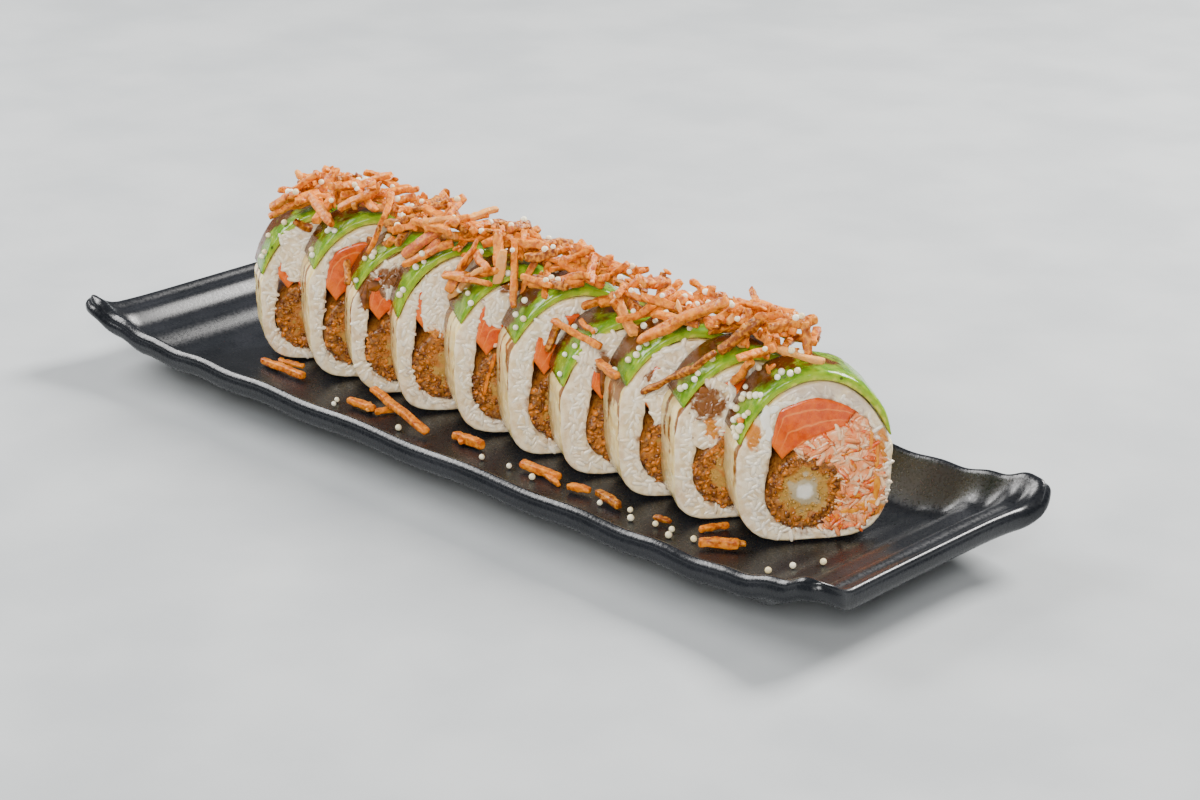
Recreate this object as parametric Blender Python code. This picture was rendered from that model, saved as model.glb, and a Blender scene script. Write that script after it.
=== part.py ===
# Uramaki roll cut into ten slices, heaped with fried crisps, on a black serving dish with wavy ends.
# Metres, +Z up, +X along the dish, +Y across it, origin on the table under the middle of the dish.

import math
import random

import bmesh
import bpy
import numpy as np
from mathutils import Matrix, Vector

MM = 0.001

# Dish, with its long side along X
DISH_HALF_LENGTH = 162 * MM
DISH_HALF_WIDTH = 49.5 * MM
DISH_CORNER_RADIUS = 9 * MM
DISH_CORNER_FLARE = (3 * MM, 1.5 * MM)
DISH_BLUNT_CORNER = 0.1
DISH_FLOOR = 7 * MM
DISH_SIDE_RISE = 12.4 * MM
DISH_END_RISE = 13 * MM
DISH_CORNER_RISE = 3.2 * MM
DISH_TILT = 1.2 * MM
DISH_RISE_POWER = 2.4
DISH_LEVEL_LENGTH = 124 * MM
DISH_STEEP_LENGTH = 143 * MM
DISH_LEVEL_WIDTH = 36 * MM
DISH_SIDE_CURVE, DISH_END_CURVE = 1.5, 1.35
LENGTH_STEPS = (3, 2, 5, 6)
LEVEL_SHARE = 0.7
WIDTH_STEPS = (1, 4)
LIP_DEPTH = 1.8 * MM
LIP_BULGE = 0.6 * MM
CORNER_BULGE = 1.5 * MM
RIM_DEPTH = 5 * MM
RIM_TUCK = 1.2 * MM
WALL_PLAN = (0.895, 0.81)  # share of the rim's plan at which the underside follows the walls
WALL_THICKNESS = 3 * MM
WAVE_HEIGHT = 0.75 * MM
WAVE_START = 95 * MM
WAVE_RATE = 3.04
WAVE_SPREAD = 22 * MM
WAVE_FADE = 35 * MM
RIM_RIPPLE = 0.5 * MM
FOOT_HALF_LENGTH = 130 * MM
FOOT_HALF_WIDTH = 27.5 * MM
FOOT_RING = 6 * MM
FOOT_DRAFT = 1 * MM
FOOT_RECESS = 1.5 * MM
FOOT_SHOULDER = 3.5 * MM

# Slices, listed from the far left end to the near right end
SLICE_HALF_WIDTH = 22.8 * MM
SLICE_FRONT_X = (-94.0, -69.5, -48.5, -26.5, 0.3, 24.2, 46.6, 70.6, 93.2, 117.1)
SLICE_HEIGHT = (52.0, 55.5, 52.5, 55.0, 54.0, 54.0, 50.0, 52.5, 51.5, 52.0)
SLICE_TURN = (32, 32, 33, 34, 33, 32, 32, 32, 33, 36)
SLICE_SQUARENESS = (4.2, 4.5, 4.0, 4.5, 4.0, 5.0, 4.5, 4.5, 5.5, 3.6)
SLICE_THICKEST = 21 * MM
SLICE_GAP = 0.6 * MM
FIRST_THICKNESS = 18 * MM
OUTLINE_STEPS = 30
REST_GAP = 0.3 * MM
FILLING_GAP = 0.4 * MM
CUT_EDGE, CUT_EDGE_INSET = 0.7 * MM, 0.42 * MM
RICE_RELIEF = 0.35 * MM

# Avocado cap over the top of each slice, from the first step of the outline to the slice's own last one
AVOCADO_FIRST = 1
AVOCADO_LAST = (14, 13, 13, 14, 13, 13, 14, 13, 13, 14)
AVOCADO_THICKNESS = 3.4 * MM
AVOCADO_TIP = 0.9 * MM

# Filling, laid out in polar form round the fried prawn of a slice of the nominal height
NOMINAL_HALF_HEIGHT = 26 * MM
FILLING_SHIFT = (4.5, 4.5, 4.5, 4.0, 3.5, 2.5, 1.0, 2.5, 3.5, 0.5)
LEAST_WALL = 2.0 * MM
PRAWN_CENTRE = (-2.3 * MM, -10.5 * MM)
PRAWN_RADIUS = 10.2 * MM
PRAWN_CRAG = 0.45 * MM
PRAWN_STEPS = 20
HOLLOW_ANGLES = (4, 21, 36, 48, 62, 84, 99, 107, 115, 129, 147, 173, 219, 258, 290, 304, 325, 337, 349)
HOLLOW_RADII = (
    23.7, 24.0, 25.0, 27.0, 27.8, 28.6, 27.2, 26.6, 21.8, 15.8, 12.7,
    11.7, 11.6, 11.9, 13.2, 14.9, 19.8, 23.2, 23.8,
)  # fmt: skip
SALMON_ANGLES = (59, 124)
SALMON_UNDER_ANGLES = (59, 69, 81, 97, 124)
SALMON_UNDER_RADII = (22.4, 18.9, 16.3, 13.9, 12.0)
SALMON_STEPS = 7
CRAB_START, CRAB_STEP_BACK, CRAB_END = -70, 55, 103
CRAB_OUTER_STEPS, CRAB_UNDER_STEPS, CRAB_INNER_STEPS = 10, 5, 8
CRAB_STEP_TURN = 2.3
SLANT_GAP = 0.56 * MM

# Pearls of crisp rice, on the avocado and in the heap
PEARL_RADIUS = 1.25 * MM
PEARL_SEED = 70
AVOCADO_PEARLS = 1
PEARL_DEPTHS = (0.25, 0.75)
PEARL_STEPS = (4, 1)
PEARL_STANDING = 0.5
HEAP_PEARLS = 14

# Heap of fried crisps along the top, on a bed of crumbs
HEAP_SEED = 124
HEAP_START, HEAP_END = -113 * MM, 110 * MM
HEAP_MIDDLE = 0.5 * MM
BED_HALF_WIDTH = 12 * MM
BED_THICKNESS = 1.2 * MM
BED_EDGE = 1.0 * MM
BED_LUMPS = 0.5 * MM
BED_LUMP_LENGTH, BED_LUMP_WIDTH, BED_LUMP_SKEW = 5.3 * MM, 4.1 * MM, 11 * MM
BED_WANDER, BED_WANDER_LENGTH = 2 * MM, 8 * MM
BED_TAPER_LENGTH = 9 * MM
BED_CELLS = (24, 4)
BED_REACH = 0.8
BED_MAP_STEP, BED_MAP_REACH = 4, 4 * MM
MAP_CELL = 0.5 * MM
MAP_START = Vector((-130 * MM, -32 * MM))
MAP_SHAPE = (500, 128)
CLEARANCE = 0.45 * MM
CRISP_COUNT = 60
CRISP_TRIES = 3
CRISP_LENGTH = (8 * MM, 25 * MM, 14 * MM)
CRISP_SIZE = (2.2 * MM, 3.3 * MM)
CRISP_SPREAD = 9 * MM
CRISP_REACH = (-17 * MM, 15 * MM)
CRISP_STEEPEST = 0.45
CRISP_SINK = 2.2 * MM
CRISP_BEND = 0.09
CRISP_CORNER = 1.45
CRISP_SPOTS = 9
HEAP_MARGIN = 6 * MM
CRISP_TAPER = 0.85

# Crisps that stand out in the heap: both ends (x, y, height over the table) in millimetres
PLACED_CRISPS = (
    ((62, -14, 43), (89, -7, 60)),
    ((88, -9, 52), (97, -1, 62)),
    ((99, -1, 63), (117, 2, 61)),
    ((42, -4, 62), (57, -11, 56)),
    ((72, 5, 65), (71, 7, 72)),
    ((55, 1, 65), (52, 6, 71)),
    ((-9, -3, 66), (-4, -8, 57)),
    ((-2, -3, 67), (9, -14, 51)),
    ((-47, 8, 73), (-31, 5, 66)),
    ((-60, -4, 63), (-57, -14, 55)),
    ((-21, -13, 49), (-18, -4, 62)),
    ((-77, -5, 66), (-68, 1, 63)),
    ((-43, -12, 55), (-31, -6, 65)),
    ((-107, -6, 62), (-96, 5, 66)),
    ((-86, -4, 65), (-78, 9, 68)),
    ((16, -1, 67), (31, 2, 62)),
    ((87, 5, 64), (106, 0, 62)),
)

# Crisps that fell onto the dish: both ends (x, y, height over its floor) in millimetres
FALLEN_CRISPS = (
    ((-106, -20, 1.9), (-84, -20.5, 1.9)),
    ((-57, -24, 1.9), (-46, -23.5, 1.9)),
    ((-49, -21.5, 8.0), (-19, -25.0, 1.9)),
    ((-12, -20, 1.9), (1, -19.5, 1.9)),
    ((20, -21.5, 1.9), (35, -20, 1.9)),
    ((42, -23.5, 1.9), (49, -21.5, 1.9)),
    ((51, -20.5, 1.9), (63, -23.5, 1.9)),
    ((97, -26, 1.9), (106, -19.5, 1.9)),
)
FALLEN_SIZE = 3.0 * MM

COLOURS = {
    "dish": ((0.015, 0.016, 0.02), 0.38),
    "rice": ((0.80, 0.76, 0.66), 0.45),
    "avocado": ((0.36, 0.52, 0.06), 0.35),
    "salmon": ((0.78, 0.20, 0.06), 0.35),
    "crab": ((0.85, 0.50, 0.38), 0.5),
    "prawn": ((0.40, 0.17, 0.04), 0.7),
    "crisp": ((0.62, 0.25, 0.07), 0.6),
}


# Scene and mesh helpers
def clear_scene():
    for obj in list(bpy.data.objects):
        bpy.data.objects.remove(obj)


def material(kind):
    found = bpy.data.materials.get(kind)
    if found:
        return found
    colour, roughness = COLOURS[kind]
    made = bpy.data.materials.new(kind)
    made.use_nodes = True
    shader = made.node_tree.nodes["Principled BSDF"]
    shader.inputs["Base Color"].default_value = (*colour, 1)
    shader.inputs["Roughness"].default_value = roughness
    shader.inputs["Metallic"].default_value = 0
    return made


def add_object(name, points, faces, kind):
    mesh = bpy.data.meshes.new(name)
    mesh.from_pydata([tuple(p) for p in points], [], faces)
    shell = bmesh.new()
    shell.from_mesh(mesh)
    bmesh.ops.recalc_face_normals(shell, faces=shell.faces)
    shell.to_mesh(mesh)
    shell.free()
    mesh.materials.append(material(kind))
    obj = bpy.data.objects.new(name, mesh)
    bpy.context.scene.collection.objects.link(obj)
    return obj


def loft(rings):
    """Points and faces of a closed solid through rings of equal length, with a flat cap at each end."""
    count = len(rings[0])
    points = [p for ring in rings for p in ring]
    faces = [tuple(range(count)), tuple(range(len(points) - count, len(points)))]
    for r in range(len(rings) - 1):
        for i in range(count):
            j = (i + 1) % count
            low, high = r * count, (r + 1) * count
            faces.append((low + i, low + j, high + j, high + i))
    return points, faces


# Slice outlines, as (across, up) pairs from the centre of the cut face
def outline_point(angle, half_height, squareness):
    c, s = math.cos(angle), math.sin(angle)
    power = squareness if s < 0 else 2.0
    reach = (abs(c) ** power + abs(s) ** power) ** (-1 / power)
    return Vector((c * reach * SLICE_HALF_WIDTH, s * reach * half_height))


def avocado_thickness(step, last):
    along = (2 * step - AVOCADO_FIRST - last) / (last - AVOCADO_FIRST)
    return AVOCADO_TIP + (AVOCADO_THICKNESS - AVOCADO_TIP) * (1 - abs(along) ** 3)


def inset(point, distance):
    return point * (1 - distance / point.length)


def slice_outline(place):
    return [
        outline_point(2 * math.pi * i / OUTLINE_STEPS, place["height"] / 2, place["squareness"])
        for i in range(OUTLINE_STEPS)
    ]


def rice_outline(outer, avocado_last, rng):
    """The rice's rim: inside the avocado where that covers it, and a little uneven elsewhere."""
    made = []
    for i, point in enumerate(outer):
        if AVOCADO_FIRST <= i <= avocado_last:
            made.append(inset(point, avocado_thickness(i, avocado_last) + FILLING_GAP))
        else:
            made.append(inset(point, rng.uniform(0, RICE_RELIEF)))
    return made


def polar(angle, radius):
    return Vector((math.cos(angle) * radius, math.sin(angle) * radius))


def hollow_outline(rim, centre):
    """The wall round the filling, with one point on the ray from its centre to each point of the rim."""
    made = []
    for point in rim:
        ray = point - centre
        angle = math.degrees(math.atan2(ray.y, ray.x)) % 360
        radius = np.interp(angle, HOLLOW_ANGLES, HOLLOW_RADII, period=360) * MM
        made.append(ray.normalized() * min(radius, ray.length - LEAST_WALL))
    return made


def shrink(loop, distance):
    """A counter-clockwise loop moved inwards by distance."""
    made = []
    for i, point in enumerate(loop):
        before = (point - loop[i - 1]).normalized()
        after = (loop[(i + 1) % len(loop)] - point).normalized()
        normal = Vector((-before.y - after.y, before.x + after.x)).normalized()
        facing = max(0.5, normal.dot(Vector((-before.y, before.x))))
        made.append(point + normal * (distance / facing))
    return made


def ray_radius(loop, angle):
    """How far a loop round the origin is from it, along the ray at angle."""
    ray = polar(angle, 1)
    for i, a in enumerate(loop):
        b = loop[(i + 1) % len(loop)]
        side = b - a
        turn = ray.x * side.y - ray.y * side.x
        if abs(turn) < 1e-12:
            continue
        radius = (a.x * side.y - a.y * side.x) / turn
        along = (a.x * ray.y - a.y * ray.x) / turn
        if radius > 0 and -1e-9 <= along <= 1 + 1e-9:
            return radius
    return 0


def salmon_under(angle):
    return np.interp(math.degrees(angle), SALMON_UNDER_ANGLES, SALMON_UNDER_RADII) * MM


def salmon_outline(wall):
    low, high = (math.radians(a) for a in SALMON_ANGLES)
    angles = np.linspace(low, high, SALMON_STEPS)
    upper = [polar(a, ray_radius(wall, a)) for a in angles]
    lower = [polar(a, salmon_under(a)) for a in angles]
    return upper + lower[::-1]


def crab_outline(wall):
    start, step_back, end = (math.radians(a) for a in (CRAB_START, CRAB_STEP_BACK, CRAB_END))
    under_start = step_back + math.radians(CRAB_STEP_TURN)
    outer = []
    for a in np.linspace(start, step_back, CRAB_OUTER_STEPS):
        outer.append(polar(a, ray_radius(wall, a)))
    for a in np.linspace(under_start, end, CRAB_UNDER_STEPS):
        outer.append(polar(a, salmon_under(a) - SLANT_GAP))
    turn = (end - start) / (CRAB_INNER_STEPS - 1)
    radius = (PRAWN_RADIUS + PRAWN_CRAG + FILLING_GAP) / math.cos(turn / 2)
    inner = [polar(end - turn * k, radius) for k in range(CRAB_INNER_STEPS)]
    return outer + inner


def prawn_outline(rng):
    made = []
    for k in range(PRAWN_STEPS):
        angle = 2 * math.pi * k / PRAWN_STEPS
        made.append(polar(angle, PRAWN_RADIUS + rng.uniform(-PRAWN_CRAG, PRAWN_CRAG)))
    return made


# Slices
def slice_layout():
    """Place and measures of each slice: each reaches back almost to the one before."""
    made = []
    for i, x in enumerate(SLICE_FRONT_X):
        front, turn = Vector((x * MM, 0)), math.radians(SLICE_TURN[i])
        thickness = FIRST_THICKNESS
        if made:
            room = min(
                face_distance(front, turn, made[-1], side * SLICE_HALF_WIDTH) for side in (-1, 1)
            )
            thickness = min(SLICE_THICKEST, room - SLICE_GAP)
        place = {"number": i + 1, "front": front, "turn": turn, "thickness": thickness}
        place["height"] = SLICE_HEIGHT[i] * MM
        place["squareness"] = SLICE_SQUARENESS[i]
        place["avocado_last"] = AVOCADO_LAST[i]
        place["filling_shift"] = FILLING_SHIFT[i] * MM
        place["outer"] = slice_outline(place)
        place["pearls"] = pearl_spots(place)
        made.append(place)
    return made


def pearl_spots(place):
    """Where pearls stick to the near side of the slice's avocado, in the slice's own frame."""
    rng = random.Random(PEARL_SEED + place["number"])
    lowest, topmost = (place["avocado_last"] - n for n in PEARL_STEPS)
    made = []
    for _ in range(AVOCADO_PEARLS):
        depth = -place["thickness"] * rng.uniform(*PEARL_DEPTHS)
        step = rng.uniform(lowest, topmost)
        low, part = int(step), step % 1
        spot = place["outer"][low].lerp(place["outer"][low + 1], part)
        spot = inset(spot, -PEARL_RADIUS * PEARL_STANDING)
        made.append(Vector((depth, spot.x, spot.y)))
    return made


def face_distance(front, turn, behind, across):
    """Distance from a cut face, at a place across it, back to the face of the slice behind."""
    normal = Vector((math.cos(turn), -math.sin(turn)))
    place = front + Vector((math.sin(turn), math.cos(turn))) * across
    facing = Vector((math.cos(behind["turn"]), -math.sin(behind["turn"])))
    return (place - behind["front"]).dot(facing) / normal.dot(facing)


def section(loop, depth):
    return [Vector((depth, p.x, p.y)) for p in loop]


def rice_solid(name, rim, hollow, thickness):
    """The rice as a thick ring, its outer edges worn a little round at both cut faces."""
    edge = [inset(p, CUT_EDGE_INSET) for p in rim]
    depths = (0, -CUT_EDGE, -thickness + CUT_EDGE, -thickness)
    rings = [section(loop, d) for loop, d in zip((edge, rim, rim, edge), depths)]
    rings += [section(hollow, -thickness), section(hollow, 0)]
    count = len(rim)
    faces = []
    for r in range(len(rings)):
        s = (r + 1) % len(rings)
        for i in range(count):
            j = (i + 1) % count
            faces.append((r * count + i, r * count + j, s * count + j, s * count + i))
    return add_object(name, [p for ring in rings for p in ring], faces, "rice")


def bar_solid(name, loop, thickness, kind):
    points, faces = loft([section(loop, 0), section(loop, -thickness)])
    return add_object(name, points, faces, kind)


def avocado_solid(name, place):
    last, outer = place["avocado_last"], place["outer"]
    steps = range(AVOCADO_FIRST, last + 1)
    top = [outer[i] for i in steps]
    under = [inset(outer[i], avocado_thickness(i, last)) for i in steps]
    avocado = bar_solid(name, top + under[::-1], place["thickness"], "avocado")
    fuse(avocado, [pearl_mesh(spot) for spot in place["pearls"]])
    return avocado


def fuse(core, shapes):
    """Joins loose shapes, each given as points and faces, to an object that they overlap."""
    extras = bpy.data.collections.new("loose_shapes")
    bpy.context.scene.collection.children.link(extras)
    for points, faces in shapes:
        piece = add_object("loose_shape", points, faces, "crisp")
        bpy.context.scene.collection.objects.unlink(piece)
        extras.objects.link(piece)
    join = core.modifiers.new("join", "BOOLEAN")
    join.operation = "UNION"
    join.operand_type = "COLLECTION"
    join.collection = extras
    join.solver = "MANIFOLD"
    core.data = bpy.data.meshes.new_from_object(
        core.evaluated_get(bpy.context.evaluated_depsgraph_get())
    )
    core.modifiers.clear()
    for piece in list(extras.objects):
        bpy.data.objects.remove(piece)
    bpy.data.collections.remove(extras)
    keep_largest_piece(core)


def keep_largest_piece(obj):
    """Drops scraps that touch nothing, and fills hollows that the join sealed."""
    shell = bmesh.new()
    shell.from_mesh(obj.data)
    groups, left = [], set(shell.faces)
    while left:
        found, edge = set(), {left.pop()}
        while edge:
            found |= edge
            edge = {g for f in edge for e in f.edges for g in e.link_faces} - found
        left -= found
        groups.append(found)
    largest = max(groups, key=len)
    bmesh.ops.delete(shell, geom=[f for f in shell.faces if f not in largest], context="FACES")
    shell.to_mesh(obj.data)
    shell.free()


def build_slice(place):
    number, thickness = place["number"], place["thickness"]
    rng = random.Random(number)
    stretch = place["height"] / 2 / NOMINAL_HALF_HEIGHT
    centre = Vector(PRAWN_CENTRE) - Vector((place["filling_shift"], 0))
    rim = rice_outline(place["outer"], place["avocado_last"], rng)
    hollow = hollow_outline([Vector((p.x, p.y / stretch)) for p in rim], centre)
    wall = shrink(hollow, FILLING_GAP)
    loops = {"salmon": salmon_outline(wall), "crab": crab_outline(wall), "prawn": prawn_outline(rng)}

    def fitted(loop):
        return [Vector((p.x + centre.x, (p.y + centre.y) * stretch)) for p in loop]

    pieces = [
        rice_solid(f"rice_{number:02d}", rim, fitted(hollow), thickness),
        avocado_solid(f"avocado_{number:02d}", place),
    ]
    for kind, loop in loops.items():
        pieces.append(bar_solid(f"{kind}_{number:02d}", fitted(loop), thickness, kind))
    carrier = bpy.data.objects.new(f"slice_{number:02d}", None)
    bpy.context.scene.collection.objects.link(carrier)
    carrier.matrix_world = slice_frame(place)
    for piece in pieces:
        piece.parent = carrier


def slice_frame(place):
    """The slice's own frame: X out of its cut face, Y across it, Z up, from the middle of the face."""
    height = DISH_FLOOR + REST_GAP + place["height"] / 2
    at = Matrix.Translation((place["front"].x, place["front"].y, height))
    return at @ Matrix.Rotation(-place["turn"], 4, "Z")


# Dish
def ease(value):
    value = min(1.0, max(0.0, value))
    return value * value * (3 - 2 * value)


def corner_share(x, across):
    """How close a place is to a corner: up to 1 at the two drawn-out corners, less at the blunt ones."""
    share = (abs(x) / DISH_HALF_LENGTH) ** 10 * abs(across) ** 5
    return share if x * across > 0 else share * DISH_BLUNT_CORNER


def plan_place(x, across):
    """Place in plan of a station at x and a share across, -1 to 1, with round, flared corners."""
    past = max(0.0, abs(x) - (DISH_HALF_LENGTH - DISH_CORNER_RADIUS))
    half = DISH_HALF_WIDTH - DISH_CORNER_RADIUS + math.sqrt(max(0.0, DISH_CORNER_RADIUS**2 - past**2))
    corner = corner_share(x, across)
    flare_x, flare_y = DISH_CORNER_FLARE
    return Vector((x + math.copysign(flare_x * corner, x), across * (half + flare_y * corner)))


def end_wave(x):
    """Ridges across the dish, closer together towards its ends, from -1 to 1."""
    from_end = max(0.0, DISH_HALF_LENGTH - abs(x))
    return math.cos(2 * math.pi * WAVE_RATE * math.log1p(from_end / WAVE_SPREAD))


def dish_top(x, y):
    """Height of the upper surface: a level floor that sweeps up to the ends, sides and corners."""
    side = max(0.0, abs(y) - DISH_LEVEL_WIDTH) / (DISH_HALF_WIDTH - DISH_LEVEL_WIDTH)
    end = max(0.0, abs(x) - DISH_LEVEL_LENGTH) / (DISH_HALF_LENGTH - DISH_LEVEL_LENGTH)
    up_side = DISH_SIDE_RISE * side**DISH_SIDE_CURVE
    up_end = DISH_END_RISE * end**DISH_END_CURVE
    rise = (up_side**DISH_RISE_POWER + up_end**DISH_RISE_POWER) ** (1 / DISH_RISE_POWER)
    tilt = math.copysign(DISH_TILT, y) * (1 - end)
    rise += (DISH_CORNER_RISE * end + tilt) * ease(side)
    ridges = WAVE_HEIGHT * ease((abs(x) - WAVE_START) / WAVE_FADE) * max(ease(side), ease(3 * end))
    return DISH_FLOOR + rise + end_wave(x) * max(ridges, RIM_RIPPLE * ease(side))


def grid_stations(marks, counts):
    """Values through the marks and their mirror images, each stretch cut into equal steps."""
    half = [marks[0]]
    for a, b, n in zip(marks, marks[1:], counts):
        half += [a + (b - a) * k / n for k in range(1, n + 1)]
    return [-v for v in half[:0:-1]] + half


def border_indices(rows, columns):
    """Indices round the edge of a grid of points."""
    made = [i * columns for i in range(rows)]
    made += [(rows - 1) * columns + j for j in range(1, columns)]
    made += [i * columns + columns - 1 for i in range(rows - 2, -1, -1)]
    return made + [j for j in range(columns - 2, 0, -1)]


def foot_rings(edge):
    """Rings below the rim, as (scale of the edge in plan, height): shoulder, foot, recess."""
    inner = (FOOT_HALF_LENGTH - FOOT_RING, FOOT_HALF_WIDTH - FOOT_RING)
    sizes = (
        (FOOT_HALF_LENGTH + FOOT_DRAFT, FOOT_HALF_WIDTH + FOOT_DRAFT, FOOT_SHOULDER),
        (FOOT_HALF_LENGTH, FOOT_HALF_WIDTH, 0),
        (*inner, 0),
        (inner[0] - FOOT_DRAFT, inner[1] - FOOT_DRAFT, FOOT_RECESS),
    )
    reach_x, reach_y = max(p.x for p in edge), max(p.y for p in edge)
    return [[Vector((p.x * a / reach_x, p.y * b / reach_y, z)) for p in edge] for a, b, z in sizes]


def wall_ring(edge):
    """A ring on the underside, a wall's thickness below the upper surface."""
    ring = []
    for p in edge:
        x, y = p.x * WALL_PLAN[0], p.y * WALL_PLAN[1]
        ring.append(Vector((x, y, dish_top(x, y) - WALL_THICKNESS)))
    return ring


def out_of_dish(point):
    past = max(0.0, abs(point.x) - FOOT_HALF_LENGTH)
    return Vector((math.copysign(past, point.x), point.y, 0)).normalized()


def build_dish():
    """One shell: a grid for the upper surface, then rings round the lip, the rim, the walls and the foot."""
    marks = (0, WAVE_START, DISH_LEVEL_LENGTH, DISH_STEEP_LENGTH, DISH_HALF_LENGTH)
    stations = grid_stations(marks, LENGTH_STEPS)
    shares = grid_stations((0, LEVEL_SHARE, 1), WIDTH_STEPS)
    rows, columns = len(stations), len(shares)
    points = []
    for x in stations:
        for across in shares:
            place = plan_place(x, across)
            points.append(Vector((place.x, place.y, dish_top(x, place.y))))
    faces = []
    for i in range(rows - 1):
        for j in range(columns - 1):
            a = i * columns + j
            faces.append((a, a + 1, a + columns + 1, a + columns))
    border = border_indices(rows, columns)
    edge = [points[i].copy() for i in border]
    outward = [out_of_dish(p) for p in edge]
    bulges = [LIP_BULGE + CORNER_BULGE * corner_share(p.x, p.y / DISH_HALF_WIDTH) for p in edge]
    lip = [p + n * b - Vector((0, 0, LIP_DEPTH)) for p, n, b in zip(edge, outward, bulges)]
    rim = [p - n * RIM_TUCK - Vector((0, 0, RIM_DEPTH)) for p, n in zip(edge, outward)]
    above = border
    for ring in (lip, rim, wall_ring(edge), *foot_rings(edge)):
        below = range(len(points), len(points) + len(ring))
        points += ring
        for k in range(len(ring)):
            n = (k + 1) % len(ring)
            faces.append((above[k], above[n], below[n], below[k]))
        above = below
    faces.append(tuple(above))
    dish = add_object("dish", points, faces, "dish")
    dish.data.shade_smooth()
    dish.data.set_sharp_from_angle(angle=math.radians(40))


# Heap of crisps: each is dropped onto a map of heights and comes to rest on two points of it
def map_axes():
    columns = MAP_START.x + MAP_CELL * np.arange(MAP_SHAPE[0])
    rows = MAP_START.y + MAP_CELL * np.arange(MAP_SHAPE[1])
    return np.meshgrid(columns, rows, indexing="ij")


def roll_heights(slices):
    """Height of the bare roll and its pearls over each cell of the map, and zero beside it."""
    xs, ys = map_axes()
    heights = np.zeros(MAP_SHAPE)
    for place in slices:
        c, s = math.cos(place["turn"]), math.sin(place["turn"])
        along = (xs - place["front"].x) * c - (ys - place["front"].y) * s
        across = (xs - place["front"].x) * s + (ys - place["front"].y) * c
        share = np.clip(np.abs(across) / SLICE_HALF_WIDTH, 0, 1)
        top = DISH_FLOOR + REST_GAP + place["height"] / 2 * (1 + np.sqrt(1 - share**2))
        inside = (along <= MM) & (along >= -place["thickness"] - MM) & (share < 1)
        heights = np.where(inside, np.maximum(heights, top), heights)
        for spot in place["pearls"]:
            centre = slice_frame(place) @ spot
            near = np.hypot(xs - centre.x, ys - centre.y) < PEARL_RADIUS
            heights = np.where(near, np.maximum(heights, centre.z + PEARL_RADIUS), heights)
    return heights


def highest(heights, x, y, reach):
    """The highest point of the map within reach of a place."""
    i, j, r = (x - MAP_START.x) / MAP_CELL, (y - MAP_START.y) / MAP_CELL, reach / MAP_CELL
    low_i, high_i = max(0, math.floor(i - r)), min(MAP_SHAPE[0], math.ceil(i + r) + 1)
    low_j, high_j = max(0, math.floor(j - r)), min(MAP_SHAPE[1], math.ceil(j + r) + 1)
    return heights[low_i:high_i, low_j:high_j].max()


def over_roll(bare, x, y, half):
    """The lowest height at which a crisp's middle line clears the roll."""
    reach = half * CRISP_CORNER
    return highest(bare, x, y, reach) + reach + CLEARANCE


def rest_on(distances, heights):
    """Height at the middle and slope of a rod that rests on these heights, given at distances along it."""
    best, slope = -1.0, 0.0
    for s_low, h_low in zip(distances, heights):
        for s_high, h_high in zip(distances, heights):
            if s_low >= 0 or s_high <= 0:
                continue
            middle = (h_low * s_high - h_high * s_low) / (s_high - s_low)
            if middle > best:
                best, slope = middle, (h_high - h_low) / (s_high - s_low)
    slope = min(CRISP_STEEPEST, max(-CRISP_STEEPEST, slope))
    middle = max(h - slope * s for s, h in zip(distances, heights))
    return middle, slope


def mark_map(heights, start, end, half):
    """Raises the map to the top of a rod between two points."""
    steps = max(2, int((end - start).length / (MAP_CELL * 0.8)))
    across = Vector((start.y - end.y, end.x - start.x)).normalized()
    for k in range(steps + 1):
        place = start.lerp(end, k / steps)
        for side in (-1, -0.5, 0, 0.5, 1):
            i = round((place.x + across.x * side * half - MAP_START.x) / MAP_CELL)
            j = round((place.y + across.y * side * half - MAP_START.y) / MAP_CELL)
            if 0 <= i < MAP_SHAPE[0] and 0 <= j < MAP_SHAPE[1]:
                heights[i, j] = max(heights[i, j], place.z + half)


def crisp_shape(rng, length):
    return {
        "length": length,
        "size": rng.uniform(*CRISP_SIZE),
        "roll": rng.uniform(0, math.pi / 2),
        "bend": rng.uniform(-CRISP_BEND, CRISP_BEND),
    }


def place_crisps(bare, piled, rng):
    """The crisps with a place of their own, raised where they would touch the roll."""
    made = []
    for ends in PLACED_CRISPS:
        start, end = (Vector(p) * MM for p in ends)
        crisp = crisp_shape(rng, (end - start).length)
        half = crisp["size"] / 2
        spots = [start.lerp(end, share) for share in np.linspace(0, 1, CRISP_SPOTS)]
        lift = max(0.0, max(over_roll(bare, p.x, p.y, half) - p.z for p in spots))
        crisp["start"], crisp["end"] = start + Vector((0, 0, lift)), end + Vector((0, 0, lift))
        mark_map(piled, crisp["start"], crisp["end"], half)
        made.append(crisp)
    return made


def settle(bare, piled, length, half, rng):
    """Both ends of a crisp dropped at a random place, and how far it stands up over the roll there."""
    x = rng.uniform(HEAP_START + HEAP_MARGIN, HEAP_END - HEAP_MARGIN)
    y = min(CRISP_REACH[1], max(CRISP_REACH[0], rng.gauss(HEAP_MIDDLE, CRISP_SPREAD)))
    yaw = rng.uniform(0, math.pi)
    heading = Vector((math.cos(yaw), math.sin(yaw), 0))
    shares = np.linspace(-0.5, 0.5, CRISP_SPOTS)
    heights = []
    for share in shares:
        spot = Vector((x, y, 0)) + heading * (share * length)
        on_pile = highest(piled, spot.x, spot.y, half) + half - CRISP_SINK
        heights.append(max(over_roll(bare, spot.x, spot.y, half), on_pile))
    middle, slope = rest_on(shares * length, heights)
    run = heading * (length / 2 / math.sqrt(1 + slope**2))
    step = Vector((run.x, run.y, run.length * slope))
    centre = Vector((x, y, middle))
    rise = middle + abs(step.z) - highest(bare, x, y, half)
    return rise, centre - step, centre + step


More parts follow.
